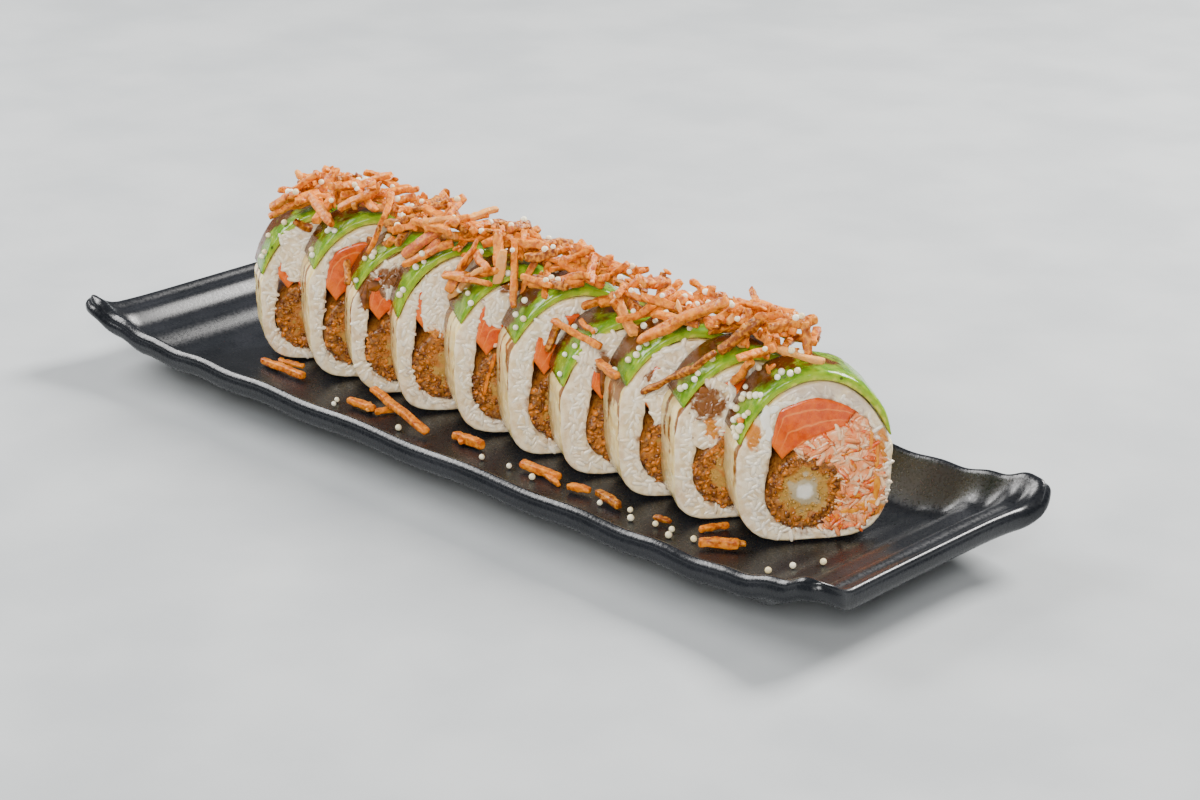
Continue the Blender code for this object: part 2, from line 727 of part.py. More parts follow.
def drop_crisps(bare, piled, rng):
    """Crisps dropped one by one, the longest first, each where it lies lowest of a few tries."""
    lengths = sorted((rng.triangular(*CRISP_LENGTH) for _ in range(CRISP_COUNT)), reverse=True)
    made = []
    for length in lengths:
        crisp = crisp_shape(rng, length)
        half = crisp["size"] / 2
        tries = [settle(bare, piled, length, half, rng) for _ in range(CRISP_TRIES)]
        _, crisp["start"], crisp["end"] = min(tries, key=lambda t: t[0])
        mark_map(piled, crisp["start"], crisp["end"], half)
        made.append(crisp)
    return made


def crisp_mesh(crisp):
    """A square, slightly bent stick between the crisp's two ends."""
    axis = crisp["end"] - crisp["start"]
    turn = axis.to_track_quat("X", "Z").to_matrix() @ Matrix.Rotation(crisp["roll"], 3, "X")
    half = crisp["size"] / 2
    rings = []
    for share, width in ((0, CRISP_TAPER), (0.5, 1.0), (1, CRISP_TAPER)):
        bow = turn @ Vector((0, crisp["bend"] * axis.length * share * (1 - share), 0))
        centre = crisp["start"] + axis * share + bow
        corners = ((-half, -half), (half, -half), (half, half), (-half, half))
        rings.append([centre + turn @ Vector((0, y * width, z * width)) for y, z in corners])
    return loft(rings)


def pearl_mesh(centre):
    ball = bmesh.new()
    bmesh.ops.create_icosphere(ball, subdivisions=1, radius=PEARL_RADIUS)
    points = [v.co + centre for v in ball.verts]
    faces = [tuple(v.index for v in f.verts) for f in ball.faces]
    ball.free()
    return points, faces


def bed_thickness(x, y):
    """The bed of crumbs that the crisps lie on, thickest along its middle."""
    across = min(1.0, abs(y - HEAP_MIDDLE) / BED_HALF_WIDTH)
    along = ease((x - HEAP_START) / BED_TAPER_LENGTH) * ease((HEAP_END - x) / BED_TAPER_LENGTH)
    lumps = BED_LUMPS * math.sin(x / BED_LUMP_LENGTH) * math.cos(y / BED_LUMP_WIDTH + x / BED_LUMP_SKEW)
    return BED_EDGE + (BED_THICKNESS + lumps) * (1 - across**2) * along


def bed_mesh(bare):
    """A blanket over the top of the roll, its underside clear of every slice."""
    columns, rows = BED_CELLS
    cell = (HEAP_END - HEAP_START) / columns
    reach = cell * BED_REACH
    under, over = [], []
    for i in range(columns + 1):
        x = HEAP_START + i * cell
        wander = BED_WANDER * math.sin(x / BED_WANDER_LENGTH)
        for j in range(rows + 1):
            y = HEAP_MIDDLE + wander + BED_HALF_WIDTH * (2 * j / rows - 1)
            low = highest(bare, x, y, reach) + CLEARANCE
            under.append(Vector((x, y, low)))
            over.append(Vector((x, y, low + bed_thickness(x, y))))
    width, count = rows + 1, len(under)
    faces = []
    for i in range(columns):
        for j in range(rows):
            a = i * width + j
            quad = (a, a + width, a + width + 1, a + 1)
            faces.append(tuple(reversed(quad)))
            faces.append(tuple(count + q for q in quad))
    border = border_indices(columns + 1, width)
    for a, b in zip(border, border[1:] + border[:1]):
        faces.append((a, b, count + b, count + a))
    return under + over, faces


def bed_heights(bare):
    """The bed's upper surface on the map."""
    xs, ys = map_axes()
    piled = np.zeros(MAP_SHAPE)
    step = BED_MAP_STEP
    for i in range(0, MAP_SHAPE[0], step):
        for j in range(0, MAP_SHAPE[1], step):
            x, y = xs[i, j], ys[i, j]
            if HEAP_START <= x <= HEAP_END and abs(y - HEAP_MIDDLE) <= BED_HALF_WIDTH:
                low = highest(bare, x, y, BED_MAP_REACH) + CLEARANCE
                piled[i : i + step, j : j + step] = low + bed_thickness(x, y)
    return piled


def build_heap(slices):
    rng = random.Random(HEAP_SEED)
    bare = roll_heights(slices)
    piled = bed_heights(bare)
    crisps = place_crisps(bare, piled, rng) + drop_crisps(bare, piled, rng)
    shapes = [crisp_mesh(c) for c in crisps]
    for _ in range(HEAP_PEARLS):
        x = rng.uniform(HEAP_START, HEAP_END)
        y = HEAP_MIDDLE + rng.uniform(-BED_HALF_WIDTH, BED_HALF_WIDTH)
        z = highest(piled, x, y, PEARL_RADIUS / 2) + PEARL_RADIUS * PEARL_STANDING
        shapes.append(pearl_mesh(Vector((x, y, z))))
    fuse(add_object("crisp_heap", *bed_mesh(bare), "crisp"), shapes)


def build_fallen_crisps():
    for number, ends in enumerate(FALLEN_CRISPS, 1):
        start, end = (Vector((x, y, z)) * MM + Vector((0, 0, DISH_FLOOR)) for x, y, z in ends)
        crisp = crisp_shape(random.Random(number), (end - start).length)
        crisp.update(start=start, end=end, size=FALLEN_SIZE, roll=0)
        add_object(f"fallen_crisp_{number}", *crisp_mesh(crisp), "crisp")


def main():
    clear_scene()
    slices = slice_layout()
    build_dish()
    for place in slices:
        build_slice(place)
    build_heap(slices)
    build_fallen_crisps()


main()
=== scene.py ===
# Sliced uramaki roll under fried crisps, on a long black dish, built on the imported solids.
# Lengths are in millimetres and angles in degrees up to the point where a mesh is made.
import math
import random

import bmesh
import bpy
import numpy as np
from mathutils import Matrix, Vector, noise
from mathutils.bvhtree import BVHTree


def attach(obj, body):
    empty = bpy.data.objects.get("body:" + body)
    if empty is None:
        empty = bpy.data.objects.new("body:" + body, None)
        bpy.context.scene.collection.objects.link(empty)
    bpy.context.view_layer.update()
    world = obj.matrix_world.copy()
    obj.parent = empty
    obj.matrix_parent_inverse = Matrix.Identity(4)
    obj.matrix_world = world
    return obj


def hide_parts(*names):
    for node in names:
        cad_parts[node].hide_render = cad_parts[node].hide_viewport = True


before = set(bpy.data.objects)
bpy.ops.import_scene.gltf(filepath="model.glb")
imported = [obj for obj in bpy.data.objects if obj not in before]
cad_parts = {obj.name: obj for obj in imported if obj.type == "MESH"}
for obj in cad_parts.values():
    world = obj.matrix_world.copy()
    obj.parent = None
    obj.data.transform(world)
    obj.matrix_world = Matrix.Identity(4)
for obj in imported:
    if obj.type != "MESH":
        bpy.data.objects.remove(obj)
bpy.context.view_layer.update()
mm = 0.001
print("frame loaded:", len(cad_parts), "solids")


# Small helpers for meshes
def addPiece(name, points, faces, materials, faceMaterials=None, outward=True, **attributes):
    mesh = bpy.data.meshes.new(name)
    mesh.from_pydata((np.asarray(points, float) * mm).tolist(), [], [tuple(int(i) for i in f) for f in faces])
    for made in materials:
        mesh.materials.append(made)
    if faceMaterials is not None:
        mesh.polygons.foreach_set("material_index", np.asarray(faceMaterials, np.int32))
    for key, values in attributes.items():
        values = np.asarray(values, float)
        kind, field = ("FLOAT", "value") if values.ndim == 1 else ("FLOAT_VECTOR", "vector")
        mesh.attributes.new(key, kind, "POINT").data.foreach_set(field, values.ravel())
    if outward:
        shell = bmesh.new()
        shell.from_mesh(mesh)
        bmesh.ops.recalc_face_normals(shell, faces=shell.faces)
        shell.to_mesh(mesh)
        shell.free()
    mesh.shade_smooth()
    piece = bpy.data.objects.new(name, mesh)
    bpy.context.scene.collection.objects.link(piece)
    return piece


def finishPiece(piece, slotName, *nodes):
    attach(piece, "root")
    if nodes:
        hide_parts(*nodes)


# Quads between rings of equal length; closed joins the last ring to the first
def ringFaces(rings, around, closed=True, start=0):
    faces = []
    for r in range(rings if closed else rings - 1):
        low, high = start + r * around, start + (r + 1) % rings * around
        for i in range(around):
            j = (i + 1) % around
            faces.append((low + i, low + j, high + j, high + i))
    return faces


# The points round the edge of a grid, once round
def gridBorder(rows, columns):
    border = [i * columns for i in range(rows)] + [(rows - 1) * columns + j for j in range(1, columns)]
    border += [i * columns + columns - 1 for i in range(rows - 2, -1, -1)]
    return border + list(range(columns - 2, 0, -1))


# Smooth noise from -1 to 1 at each point, with lumps of about that size
def lumps(points, size, shift=0.0):
    start = Vector((shift, shift, shift))
    return np.array([noise.noise(Vector(p) / size + start) for p in np.asarray(points)])


# Points round a circle of radius 1, to draw a ragged outline from
def onCircle(turns, height):
    return np.column_stack([np.cos(turns), np.sin(turns), np.full(len(turns), float(height))])


def ease(value):
    value = np.clip(value, 0, 1)
    return value * value * (3 - 2 * value)


# Small helpers for node trees
def addNode(tree, kind, values=None, **settings):
    made = tree.nodes.new(kind)
    for key, value in settings.items():
        setattr(made, key, value)
    for key, value in (values or {}).items():
        if isinstance(value, bpy.types.NodeSocket):
            tree.links.new(value, made.inputs[key])
        else:
            made.inputs[key].default_value = value
    return made


def calculate(tree, operation, a, b=0.0):
    return addNode(tree, "ShaderNodeMath", {0: a, 1: b}, operation=operation).outputs[0]


# 0 where value is at low, 1 where it is at high, smooth between
def spread(tree, value, low, high):
    made = addNode(tree, "ShaderNodeMapRange", {"Value": value, "From Min": low, "From Max": high})
    made.interpolation_type = "SMOOTHSTEP"
    return made.outputs["Result"]


# The value moved up and down by half of this reach where the mask is 1 and 0
def shifted(tree, value, mask, reach):
    offset = calculate(tree, "MULTIPLY", calculate(tree, "SUBTRACT", mask, 0.5), reach)
    return calculate(tree, "ADD", value, offset)


def mixColour(tree, share, a, b):
    a, b = (c if isinstance(c, bpy.types.NodeSocket) else (*c, 1) for c in (a, b))
    return addNode(tree, "ShaderNodeMix", {0: share, 6: a, 7: b}, data_type="RGBA").outputs[2]


# Another colour laid over, this strong where the mask is 1
def laidOver(tree, mask, strength, colour, other):
    return mixColour(tree, calculate(tree, "MULTIPLY", mask, strength), colour, other)


def effectGroup(name, inputs, outputs):
    group = bpy.data.node_groups.new(name, "ShaderNodeTree")
    for label, value in inputs.items():
        socket = group.interface.new_socket(name=label, in_out="INPUT", socket_type="NodeSocketFloat")
        socket.default_value = value
    for label in outputs:
        group.interface.new_socket(name=label, in_out="OUTPUT", socket_type="NodeSocketFloat")
    return group, group.nodes.new("NodeGroupInput"), group.nodes.new("NodeGroupOutput")


# Soft uneven patches over the surface
def makeMottle():
    group, given, out = effectGroup("mottle", {"Size": 3.0, "Low": 0.4, "High": 0.6, "Detail": 3.0}, ["Mask"])
    place = addNode(group, "ShaderNodeTexCoord").outputs["Object"]
    scale = calculate(group, "DIVIDE", 1000.0, given.outputs["Size"])
    pattern = addNode(group, "ShaderNodeTexNoise", {
        "Vector": place, "Scale": scale, "Detail": given.outputs["Detail"]})
    mask = spread(group, pattern.outputs[0], given.outputs["Low"], given.outputs["High"])
    group.links.new(mask, out.inputs["Mask"])
    return group


# Small scattered dots: the mask is 1 in a dot
def makeSpecks():
    group, given, out = effectGroup("specks", {"Size": 4.0, "Dot": 0.1, "Share": 0.3}, ["Mask"])
    place = addNode(group, "ShaderNodeTexCoord").outputs["Object"]
    scale = calculate(group, "DIVIDE", 1000.0, given.outputs["Size"])
    cells = addNode(group, "ShaderNodeTexVoronoi", {"Vector": place, "Scale": scale})
    near = calculate(group, "LESS_THAN", cells.outputs["Distance"], given.outputs["Dot"])
    pick = addNode(group, "ShaderNodeSeparateColor", {0: cells.outputs["Color"]}).outputs[0]
    chosen = calculate(group, "LESS_THAN", pick, given.outputs["Share"])
    group.links.new(calculate(group, "MULTIPLY", near, chosen), out.inputs["Mask"])
    return group


# Fine rounded relief: Height for a Bump node, and a roughness that varies with it
def makePebble():
    group, given, out = effectGroup(
        "pebble", {"Size": 1.0, "Smooth": 0.3, "Rough": 0.5, "Blend": 0.5}, ["Height", "Roughness"])
    place = addNode(group, "ShaderNodeTexCoord").outputs["Object"]
    scale = calculate(group, "DIVIDE", 1000.0, given.outputs["Size"])
    cells = addNode(group, "ShaderNodeTexVoronoi", {"Vector": place, "Scale": scale}, feature="SMOOTH_F1")
    grain = addNode(group, "ShaderNodeTexNoise", {"Vector": place, "Scale": scale, "Detail": 4.0})
    dome = calculate(group, "SUBTRACT", 1.0, cells.outputs["Distance"])
    height = addNode(group, "ShaderNodeMix", {
        0: given.outputs["Blend"], 2: dome, 3: grain.outputs[0]}).outputs[0]
    rough = addNode(group, "ShaderNodeMapRange", {
        "Value": grain.outputs[0], "From Min": 0.35, "From Max": 0.65,
        "To Min": given.outputs["Smooth"], "To Max": given.outputs["Rough"]}).outputs["Result"]
    group.links.new(height, out.inputs["Height"])
    group.links.new(rough, out.inputs["Roughness"])
    return group


mottle, specks, pebble = makeMottle(), makeSpecks(), makePebble()


def useGroup(tree, group, **values):
    made = tree.nodes.new("ShaderNodeGroup")
    made.node_tree = group
    for key, value in values.items():
        made.inputs[key].default_value = value
    return made.outputs


def surfaceValue(tree, name, field="Fac"):
    return addNode(tree, "ShaderNodeAttribute", attribute_name=name).outputs[field]


def newMaterial(name, subsurface=0.0, depth=(1.0, 0.6, 0.4), **settings):
    made = bpy.data.materials.new(name)
    made.use_nodes = True
    tree = made.node_tree
    shader = tree.nodes["Principled BSDF"]
    shader.inputs["Subsurface Weight"].default_value = subsurface
    shader.inputs["Subsurface Radius"].default_value = depth
    shader.inputs["Subsurface Scale"].default_value = 1.5 * mm
    for key, value in settings.items():
        shader.inputs[key].default_value = value
    return made, tree, shader


# Colour, and the relief group's roughness and bump
def setSurface(tree, shader, colour, relief, strength, distance):
    tree.links.new(colour, shader.inputs["Base Color"])
    tree.links.new(relief["Roughness"], shader.inputs["Roughness"])
    bump = addNode(tree, "ShaderNodeBump", {
        "Strength": strength, "Distance": distance * mm, "Height": relief["Height"]})
    tree.links.new(bump.outputs["Normal"], shader.inputs["Normal"])


# Materials
def makeDishMaterial():
    made, tree, shader = newMaterial("blackMelamine")
    rim = surfaceValue(tree, "rim")
    cloud = useGroup(tree, mottle, Size=18.0, Low=0.35, High=0.7)["Mask"]
    colour = mixColour(tree, cloud, (0.005, 0.006, 0.008), (0.010, 0.011, 0.014))
    relief = useGroup(tree, pebble, Size=0.9, Smooth=0.24, Rough=0.38, Blend=0.35)
    tree.links.new(colour, shader.inputs["Base Color"])
    rough = calculate(tree, "ADD", relief["Roughness"], calculate(tree, "MULTIPLY", rim, -0.04))
    tree.links.new(rough, shader.inputs["Roughness"])
    grip = addNode(tree, "ShaderNodeMapRange", {"Value": rim, "To Min": 0.15, "To Max": 0.7})
    height = calculate(tree, "MULTIPLY", relief["Height"], grip.outputs["Result"])
    bump = addNode(tree, "ShaderNodeBump", {"Strength": 0.45, "Distance": 0.2 * mm, "Height": height})
    tree.links.new(bump.outputs["Normal"], shader.inputs["Normal"])
    shader.inputs["Specular IOR Level"].default_value = 0.36
    return made


soakedColours = (  # colour and strength of brown sauce, orange sauce and a greyish pink
    ((0.19, 0.052, 0.001), 0.96), ((0.60, 0.19, 0.003), 0.95), ((0.50, 0.38, 0.30), 0.6))


# Rice colour with its soaked patches, from the tint attribute
def stained(tree, colour):
    part = addNode(tree, "ShaderNodeSeparateXYZ", {0: surfaceValue(tree, "tint", "Vector")}).outputs
    patch = useGroup(tree, mottle, Size=2.6, Low=0.25, High=0.75)["Mask"]
    for k, (stain, strength) in enumerate(soakedColours):
        level = shifted(tree, part[k], patch, 0.7)
        touched = calculate(tree, "GREATER_THAN", part[k], 0.02)
        mask = calculate(tree, "MULTIPLY", spread(tree, level, 0.25, 0.9), touched)
        colour = laidOver(tree, mask, strength, colour, stain)
    return colour


def makeRiceMaterial():
    made, tree, shader = newMaterial("cookedRice", subsurface=0.5, depth=(1.0, 0.9, 0.7))
    tone = useGroup(tree, mottle, Size=2.2, Low=0.35, High=0.65)["Mask"]
    cloud = useGroup(tree, mottle, Size=9.0, Low=0.42, High=0.72)["Mask"]
    colour = mixColour(tree, tone, (0.70, 0.53, 0.32), (0.92, 0.78, 0.57))
    colour = laidOver(tree, cloud, 0.45, colour, (0.84, 0.68, 0.36))
    dots = useGroup(tree, specks, Size=3.6, Dot=0.09, Share=0.35)["Mask"]
    colour = laidOver(tree, dots, 0.75, colour, (0.16, 0.08, 0.03))
    relief = useGroup(tree, pebble, Size=1.5, Smooth=0.18, Rough=0.4, Blend=0.4)
    setSurface(tree, shader, stained(tree, colour), relief, 0.4, 0.3)
    return made


def makeGrainMaterial():
    made, tree, shader = newMaterial("riceGrain", subsurface=0.3, depth=(0.35, 0.33, 0.28))
    tone = surfaceValue(tree, "tone")
    cloud = useGroup(tree, mottle, Size=9.0, Low=0.42, High=0.72)["Mask"]
    colour = mixColour(tree, tone, (0.86, 0.70, 0.49), (0.97, 0.86, 0.69))
    colour = laidOver(tree, cloud, 0.3, colour, (0.78, 0.70, 0.46))
    relief = useGroup(tree, pebble, Size=0.8, Smooth=0.16, Rough=0.34, Blend=0.6)
    setSurface(tree, shader, stained(tree, colour), relief, 0.15, 0.15)
    return made


def makeWrapperMaterial():
    made, tree, shader = newMaterial("paleWrapper", subsurface=0.3, depth=(1.0, 0.8, 0.3))
    tone = useGroup(tree, mottle, Size=4.0, Low=0.3, High=0.7)["Mask"]
    colour = mixColour(tree, tone, (0.80, 0.58, 0.20), (0.93, 0.77, 0.40))
    dots = useGroup(tree, specks, Size=4.5, Dot=0.10, Share=0.35)["Mask"]
    colour = laidOver(tree, dots, 0.8, colour, (0.16, 0.06, 0.015))
    relief = useGroup(tree, pebble, Size=3.2, Smooth=0.10, Rough=0.28, Blend=0.25)
    setSurface(tree, shader, stained(tree, colour), relief, 0.4, 0.5)
    return made


def makeAvocadoMaterial():
    made, tree, shader = newMaterial("avocadoFlesh", subsurface=0.2, depth=(0.7, 1.0, 0.2))
    out = surfaceValue(tree, "out")
    wobble = useGroup(tree, mottle, Size=3.0, Low=0.3, High=0.7)["Mask"]
    level = shifted(tree, out, wobble, 0.5)
    colour = mixColour(tree, spread(tree, level, 0.0, 0.5), (0.56, 0.56, 0.07), (0.26, 0.38, 0.014))
    colour = mixColour(tree, spread(tree, level, 0.55, 1.1), colour, (0.10, 0.23, 0.007))
    streak = useGroup(tree, mottle, Size=2.0, Low=0.5, High=0.8)["Mask"]
    colour = laidOver(tree, streak, 0.5, colour, (0.06, 0.19, 0.008))
    glaze = calculate(tree, "ADD", surfaceValue(tree, "sauce"), calculate(tree, "MULTIPLY", wobble, 0.3))
    soaked = spread(tree, glaze, 0.55, 0.95)
    colour = mixColour(tree, soaked, colour, (0.10, 0.026, 0.002))
    dots = useGroup(tree, specks, Size=5.0, Dot=0.1, Share=0.3)["Mask"]
    colour = laidOver(tree, dots, 0.8, colour, (0.03, 0.03, 0.01))
    relief = useGroup(tree, pebble, Size=1.8, Smooth=0.10, Rough=0.30, Blend=0.7)
    setSurface(tree, shader, colour, relief, 0.3, 0.3)
    shader.inputs["Specular IOR Level"].default_value = 0.26
    return made


def makeSalmonMaterial():
    made, tree, shader = newMaterial("rawSalmon", subsurface=0.25, depth=(1.0, 0.35, 0.2))
    part = addNode(tree, "ShaderNodeSeparateXYZ", {0: surfaceValue(tree, "share", "Vector")}).outputs
    warp = useGroup(tree, mottle, Size=9.0, Low=0.2, High=0.8)["Mask"]
    level = calculate(tree, "ADD", part[1], calculate(tree, "MULTIPLY", warp, 0.18))
    wave = calculate(tree, "SINE", calculate(tree, "MULTIPLY", level, 17.0))
    line = spread(tree, wave, 0.90, 0.995)
    tone = useGroup(tree, mottle, Size=2.2, Low=0.3, High=0.7)["Mask"]
    colour = mixColour(tree, tone, (0.55, 0.060, 0.001), (0.73, 0.112, 0.002))
    colour = laidOver(tree, line, 0.55, colour, (0.90, 0.33, 0.08))
    edge = spread(tree, calculate(tree, "ADD", part[0], calculate(tree, "MULTIPLY", warp, 0.12)), 0.84, 0.98)
    colour = laidOver(tree, edge, 0.6, colour, (0.80, 0.17, 0.015))
    relief = useGroup(tree, pebble, Size=1.4, Smooth=0.16, Rough=0.36, Blend=0.8)
    setSurface(tree, shader, colour, relief, 0.2, 0.2)
    return made


def makeCrabMaterial():
    made, tree, shader = newMaterial("crabShreds", subsurface=0.2, depth=(1.0, 0.5, 0.35))
    tone = surfaceValue(tree, "tone")
    grain = useGroup(tree, mottle, Size=1.6, Low=0.3, High=0.7)["Mask"]
    level = shifted(tree, tone, grain, 0.3)
    colour = mixColour(tree, spread(tree, level, 0.15, 0.55), (0.94, 0.58, 0.33), (0.86, 0.29, 0.10))
    colour = mixColour(tree, spread(tree, level, 0.70, 0.84), colour, (0.70, 0.085, 0.010))
    colour = mixColour(tree, spread(tree, level, 0.88, 0.96), colour, (0.84, 0.23, 0.003))
    relief = useGroup(tree, pebble, Size=0.9, Smooth=0.2, Rough=0.45, Blend=0.7)
    setSurface(tree, shader, colour, relief, 0.3, 0.2)
    return made


def makePrawnMaterial():
    made, tree, shader = newMaterial("friedPrawn", subsurface=0.12, depth=(1.0, 0.6, 0.35))
    radius = surfaceValue(tree, "ring")
    warp = useGroup(tree, mottle, Size=3.6, Low=0.3, High=0.7)["Mask"]
    fine = useGroup(tree, mottle, Size=0.9, Low=0.3, High=0.7)["Mask"]
    uneven = addNode(tree, "ShaderNodeMapRange", {
        "Value": radius, "From Max": 6.0, "To Min": 0.3, "To Max": 3.6}).outputs["Result"]
    level = shifted(tree, radius, warp, uneven)
    colour = mixColour(tree, spread(tree, level, 1.4, 3.2), (0.80, 0.75, 0.64), (0.44, 0.35, 0.20))
    colour = mixColour(tree, spread(tree, level, 3.8, 5.2), colour, (0.40, 0.225, 0.045))
    colour = mixColour(tree, spread(tree, level, 6.2, 7.8), colour, (0.32, 0.088, 0.008))
    colour = mixColour(tree, spread(tree, level, 8.2, 10.0), colour, (0.12, 0.030, 0.005))
    crumb = calculate(tree, "MULTIPLY", fine, spread(tree, radius, 3.4, 5.5))
    colour = laidOver(tree, crumb, 0.35, colour, (0.66, 0.30, 0.045))
    relief = useGroup(tree, pebble, Size=0.9, Smooth=0.25, Rough=0.6, Blend=0.7)
    setSurface(tree, shader, colour, relief, 0.6, 0.35)
    return made


def makeCrispMaterial():
    made, tree, shader = newMaterial("friedCrisp", subsurface=0.05)
    tone = surfaceValue(tree, "tone")
    patch = useGroup(tree, mottle, Size=3.2, Low=0.3, High=0.7)["Mask"]
    fine = useGroup(tree, mottle, Size=1.3, Low=0.4, High=0.66)["Mask"]
    colour = mixColour(tree, patch, (0.35, 0.062, 0.001), (0.73, 0.188, 0.004))
    colour = mixColour(tree, spread(tree, tone, 0.84, 0.92), colour, (0.70, 0.32, 0.09))
    colour = laidOver(tree, spread(tree, tone, 0.95, 0.97), 0.8, colour, (0.45, 0.055, 0.020))
    dark = spread(tree, calculate(tree, "SUBTRACT", 0.24, tone), 0.0, 0.16)
    colour = laidOver(tree, dark, 0.75, colour, (0.09, 0.017, 0.002))
    # Lighter orange flecks from the fine mottle: painted highlights over the crisps' own colour
    colour = laidOver(tree, fine, 0.55, colour, (0.93, 0.35, 0.020))
    relief = useGroup(tree, pebble, Size=1.6, Smooth=0.30, Rough=0.58, Blend=0.75)
    setSurface(tree, shader, colour, relief, 1.0, 0.9)
    shader.inputs["Specular IOR Level"].default_value = 0.3
    return made


def makeCrustMaterial():
    made, tree, shader = newMaterial("friedCrumb", subsurface=0.05)
    tone = surfaceValue(tree, "tone")
    fine = useGroup(tree, mottle, Size=0.9, Low=0.35, High=0.7)["Mask"]
    colour = mixColour(tree, spread(tree, tone, 0.2, 0.95), (0.100, 0.020, 0.002), (0.56, 0.165, 0.012))
    colour = laidOver(tree, fine, 0.35, colour, (0.60, 0.24, 0.035))
    relief = useGroup(tree, pebble, Size=0.6, Smooth=0.28, Rough=0.55, Blend=0.6)
    setSurface(tree, shader, colour, relief, 0.6, 0.2)
    return made


def makePearlMaterial():
    made, tree, shader = newMaterial("ricePearl", subsurface=0.25, depth=(1.0, 0.85, 0.6))
    tone = surfaceValue(tree, "tone")
    colour = mixColour(tree, tone, (0.76, 0.62, 0.34), (0.90, 0.86, 0.68))
    relief = useGroup(tree, pebble, Size=0.6, Smooth=0.3, Rough=0.5, Blend=0.6)
    setSurface(tree, shader, colour, relief, 0.3, 0.15)
    return made


def makeGlazeMaterial(name, dark, light, smooth=0.06):
    made, tree, shader = newMaterial(name, subsurface=0.1, depth=(0.5, 0.4, 0.3))
    tone = useGroup(tree, mottle, Size=2.6, Low=0.3, High=0.7)["Mask"]
    relief = useGroup(tree, pebble, Size=2.2, Smooth=smooth, Rough=smooth + 0.16, Blend=0.8)
    setSurface(tree, shader, mixColour(tree, tone, dark, light), relief, 0.25, 0.2)
    return made


dishFinish = makeDishMaterial()
riceFinish, grainFinish, wrapperFinish = makeRiceMaterial(), makeGrainMaterial(), makeWrapperMaterial()
avocadoFinish, salmonFinish, crabFinish = makeAvocadoMaterial(), makeSalmonMaterial(), makeCrabMaterial()
prawnFinish, crustFinish = makePrawnMaterial(), makeCrustMaterial()
crispFinish, pearlFinish = makeCrispMaterial(), makePearlMaterial()
sauceFinish = makeGlazeMaterial("brownSauce", (0.080, 0.019, 0.001), (0.26, 0.075, 0.006), 0.14)
orangeFinish = makeGlazeMaterial("orangeSauce", (0.62, 0.16, 0.004), (0.82, 0.34, 0.02), 0.22)
# A whitish glaze for the pale patches on the front slice's rice
whitishFinish = makeGlazeMaterial("creamCheese", (0.86, 0.80, 0.66), (0.94, 0.91, 0.82), 0.3)
print("finishes made")


# Dish: a fine grid for its upper surface, then rings down the rounded lip to the foot
dish = {
    "halfLength": 162, "halfWidth": 49.5, "cornerRadius": 9, "cornerFlare": (3, 1.5), "bluntCorner": 0.1,
    "floor": 7, "sideRise": 12.4, "endRise": 13, "cornerRise": 3.2, "tilt": 1.2, "risePower": 2.4,
    "levelLength": 124, "levelWidth": 36, "sideCurve": 1.5, "endCurve": 1.35,
    "lipBulge": 0.6, "cornerBulge": 1.5, "rimTuck": 1.2,
    "waveHeight": 0.95, "waveStart": 95, "waveRate": 3.04, "waveSpread": 22, "waveFade": 35,
    "rimRipple": 0.4, "sideWave": 0.35,
    "footHalf": (130, 27.5), "footRing": 6, "footDraft": 1, "footEdge": 0.35,
    "footRecess": 1.5, "footShoulder": 3.5,
    "lengthSteps": 220, "widthSteps": 96, "edgeRound": 2.2, "edgeWidth": 3.4, "bead": 0.25, "beadWidth": 5.0,
    "levelOff": (0.08, 0.16), "crestBlend": 0.004,  # level share of the wall, at end and side
    "lip": (  # drop, and share of the bulge
        (0.5, 0.45), (1.1, 0.8), (1.9, 1.0), (2.8, 0.95), (3.8, 0.5), (4.6, -0.2), (5.0, -1.0)),
    "wallPlan": (0.895, 0.81), "wallThickness": 3,
}


def cornerShare(x, across):
    share = (np.abs(x) / dish["halfLength"]) ** 10 * np.abs(across) ** 5
    return np.where(x * across > 0, share, share * dish["bluntCorner"])


def endWave(x):
    fromEnd = np.maximum(0, dish["halfLength"] - np.abs(x))
    return np.cos(2 * np.pi * dish["waveRate"] * np.log1p(fromEnd / dish["waveSpread"]))


def levelOff(share, room):
    steep = share / (1 - room)
    return np.maximum(0, (steep + 1 - np.sqrt((steep - 1) ** 2 + dish["crestBlend"])) / 2)


# Height of the upper surface: a level floor that sweeps up to the ends, sides and corners
def dishTop(x, y):
    side = np.maximum(0, np.abs(y) - dish["levelWidth"]) / (dish["halfWidth"] - dish["levelWidth"])
    end = np.maximum(0, np.abs(x) - dish["levelLength"]) / (dish["halfLength"] - dish["levelLength"])
    upSide = dish["sideRise"] * levelOff(side, dish["levelOff"][1]) ** dish["sideCurve"]
    upEnd = dish["endRise"] * levelOff(end, dish["levelOff"][0]) ** dish["endCurve"]
    rise = (upSide ** dish["risePower"] + upEnd ** dish["risePower"]) ** (1 / dish["risePower"])
    tilt = np.sign(y) * dish["tilt"] * (1 - end)
    rise = rise + (dish["cornerRise"] * end + tilt) * ease(side)
    ridges = dish["waveHeight"] * ease((np.abs(x) - dish["waveStart"]) / dish["waveFade"])
    onSide = dish["sideWave"] * ease(side)
    onEnd = ease(3 * end) * (1 - (1 - dish["sideWave"]) * ease(side))
    ridges = ridges * np.maximum(onSide, onEnd)
    return dish["floor"] + rise + endWave(x) * np.maximum(ridges, dish["rimRipple"] * ease(side))


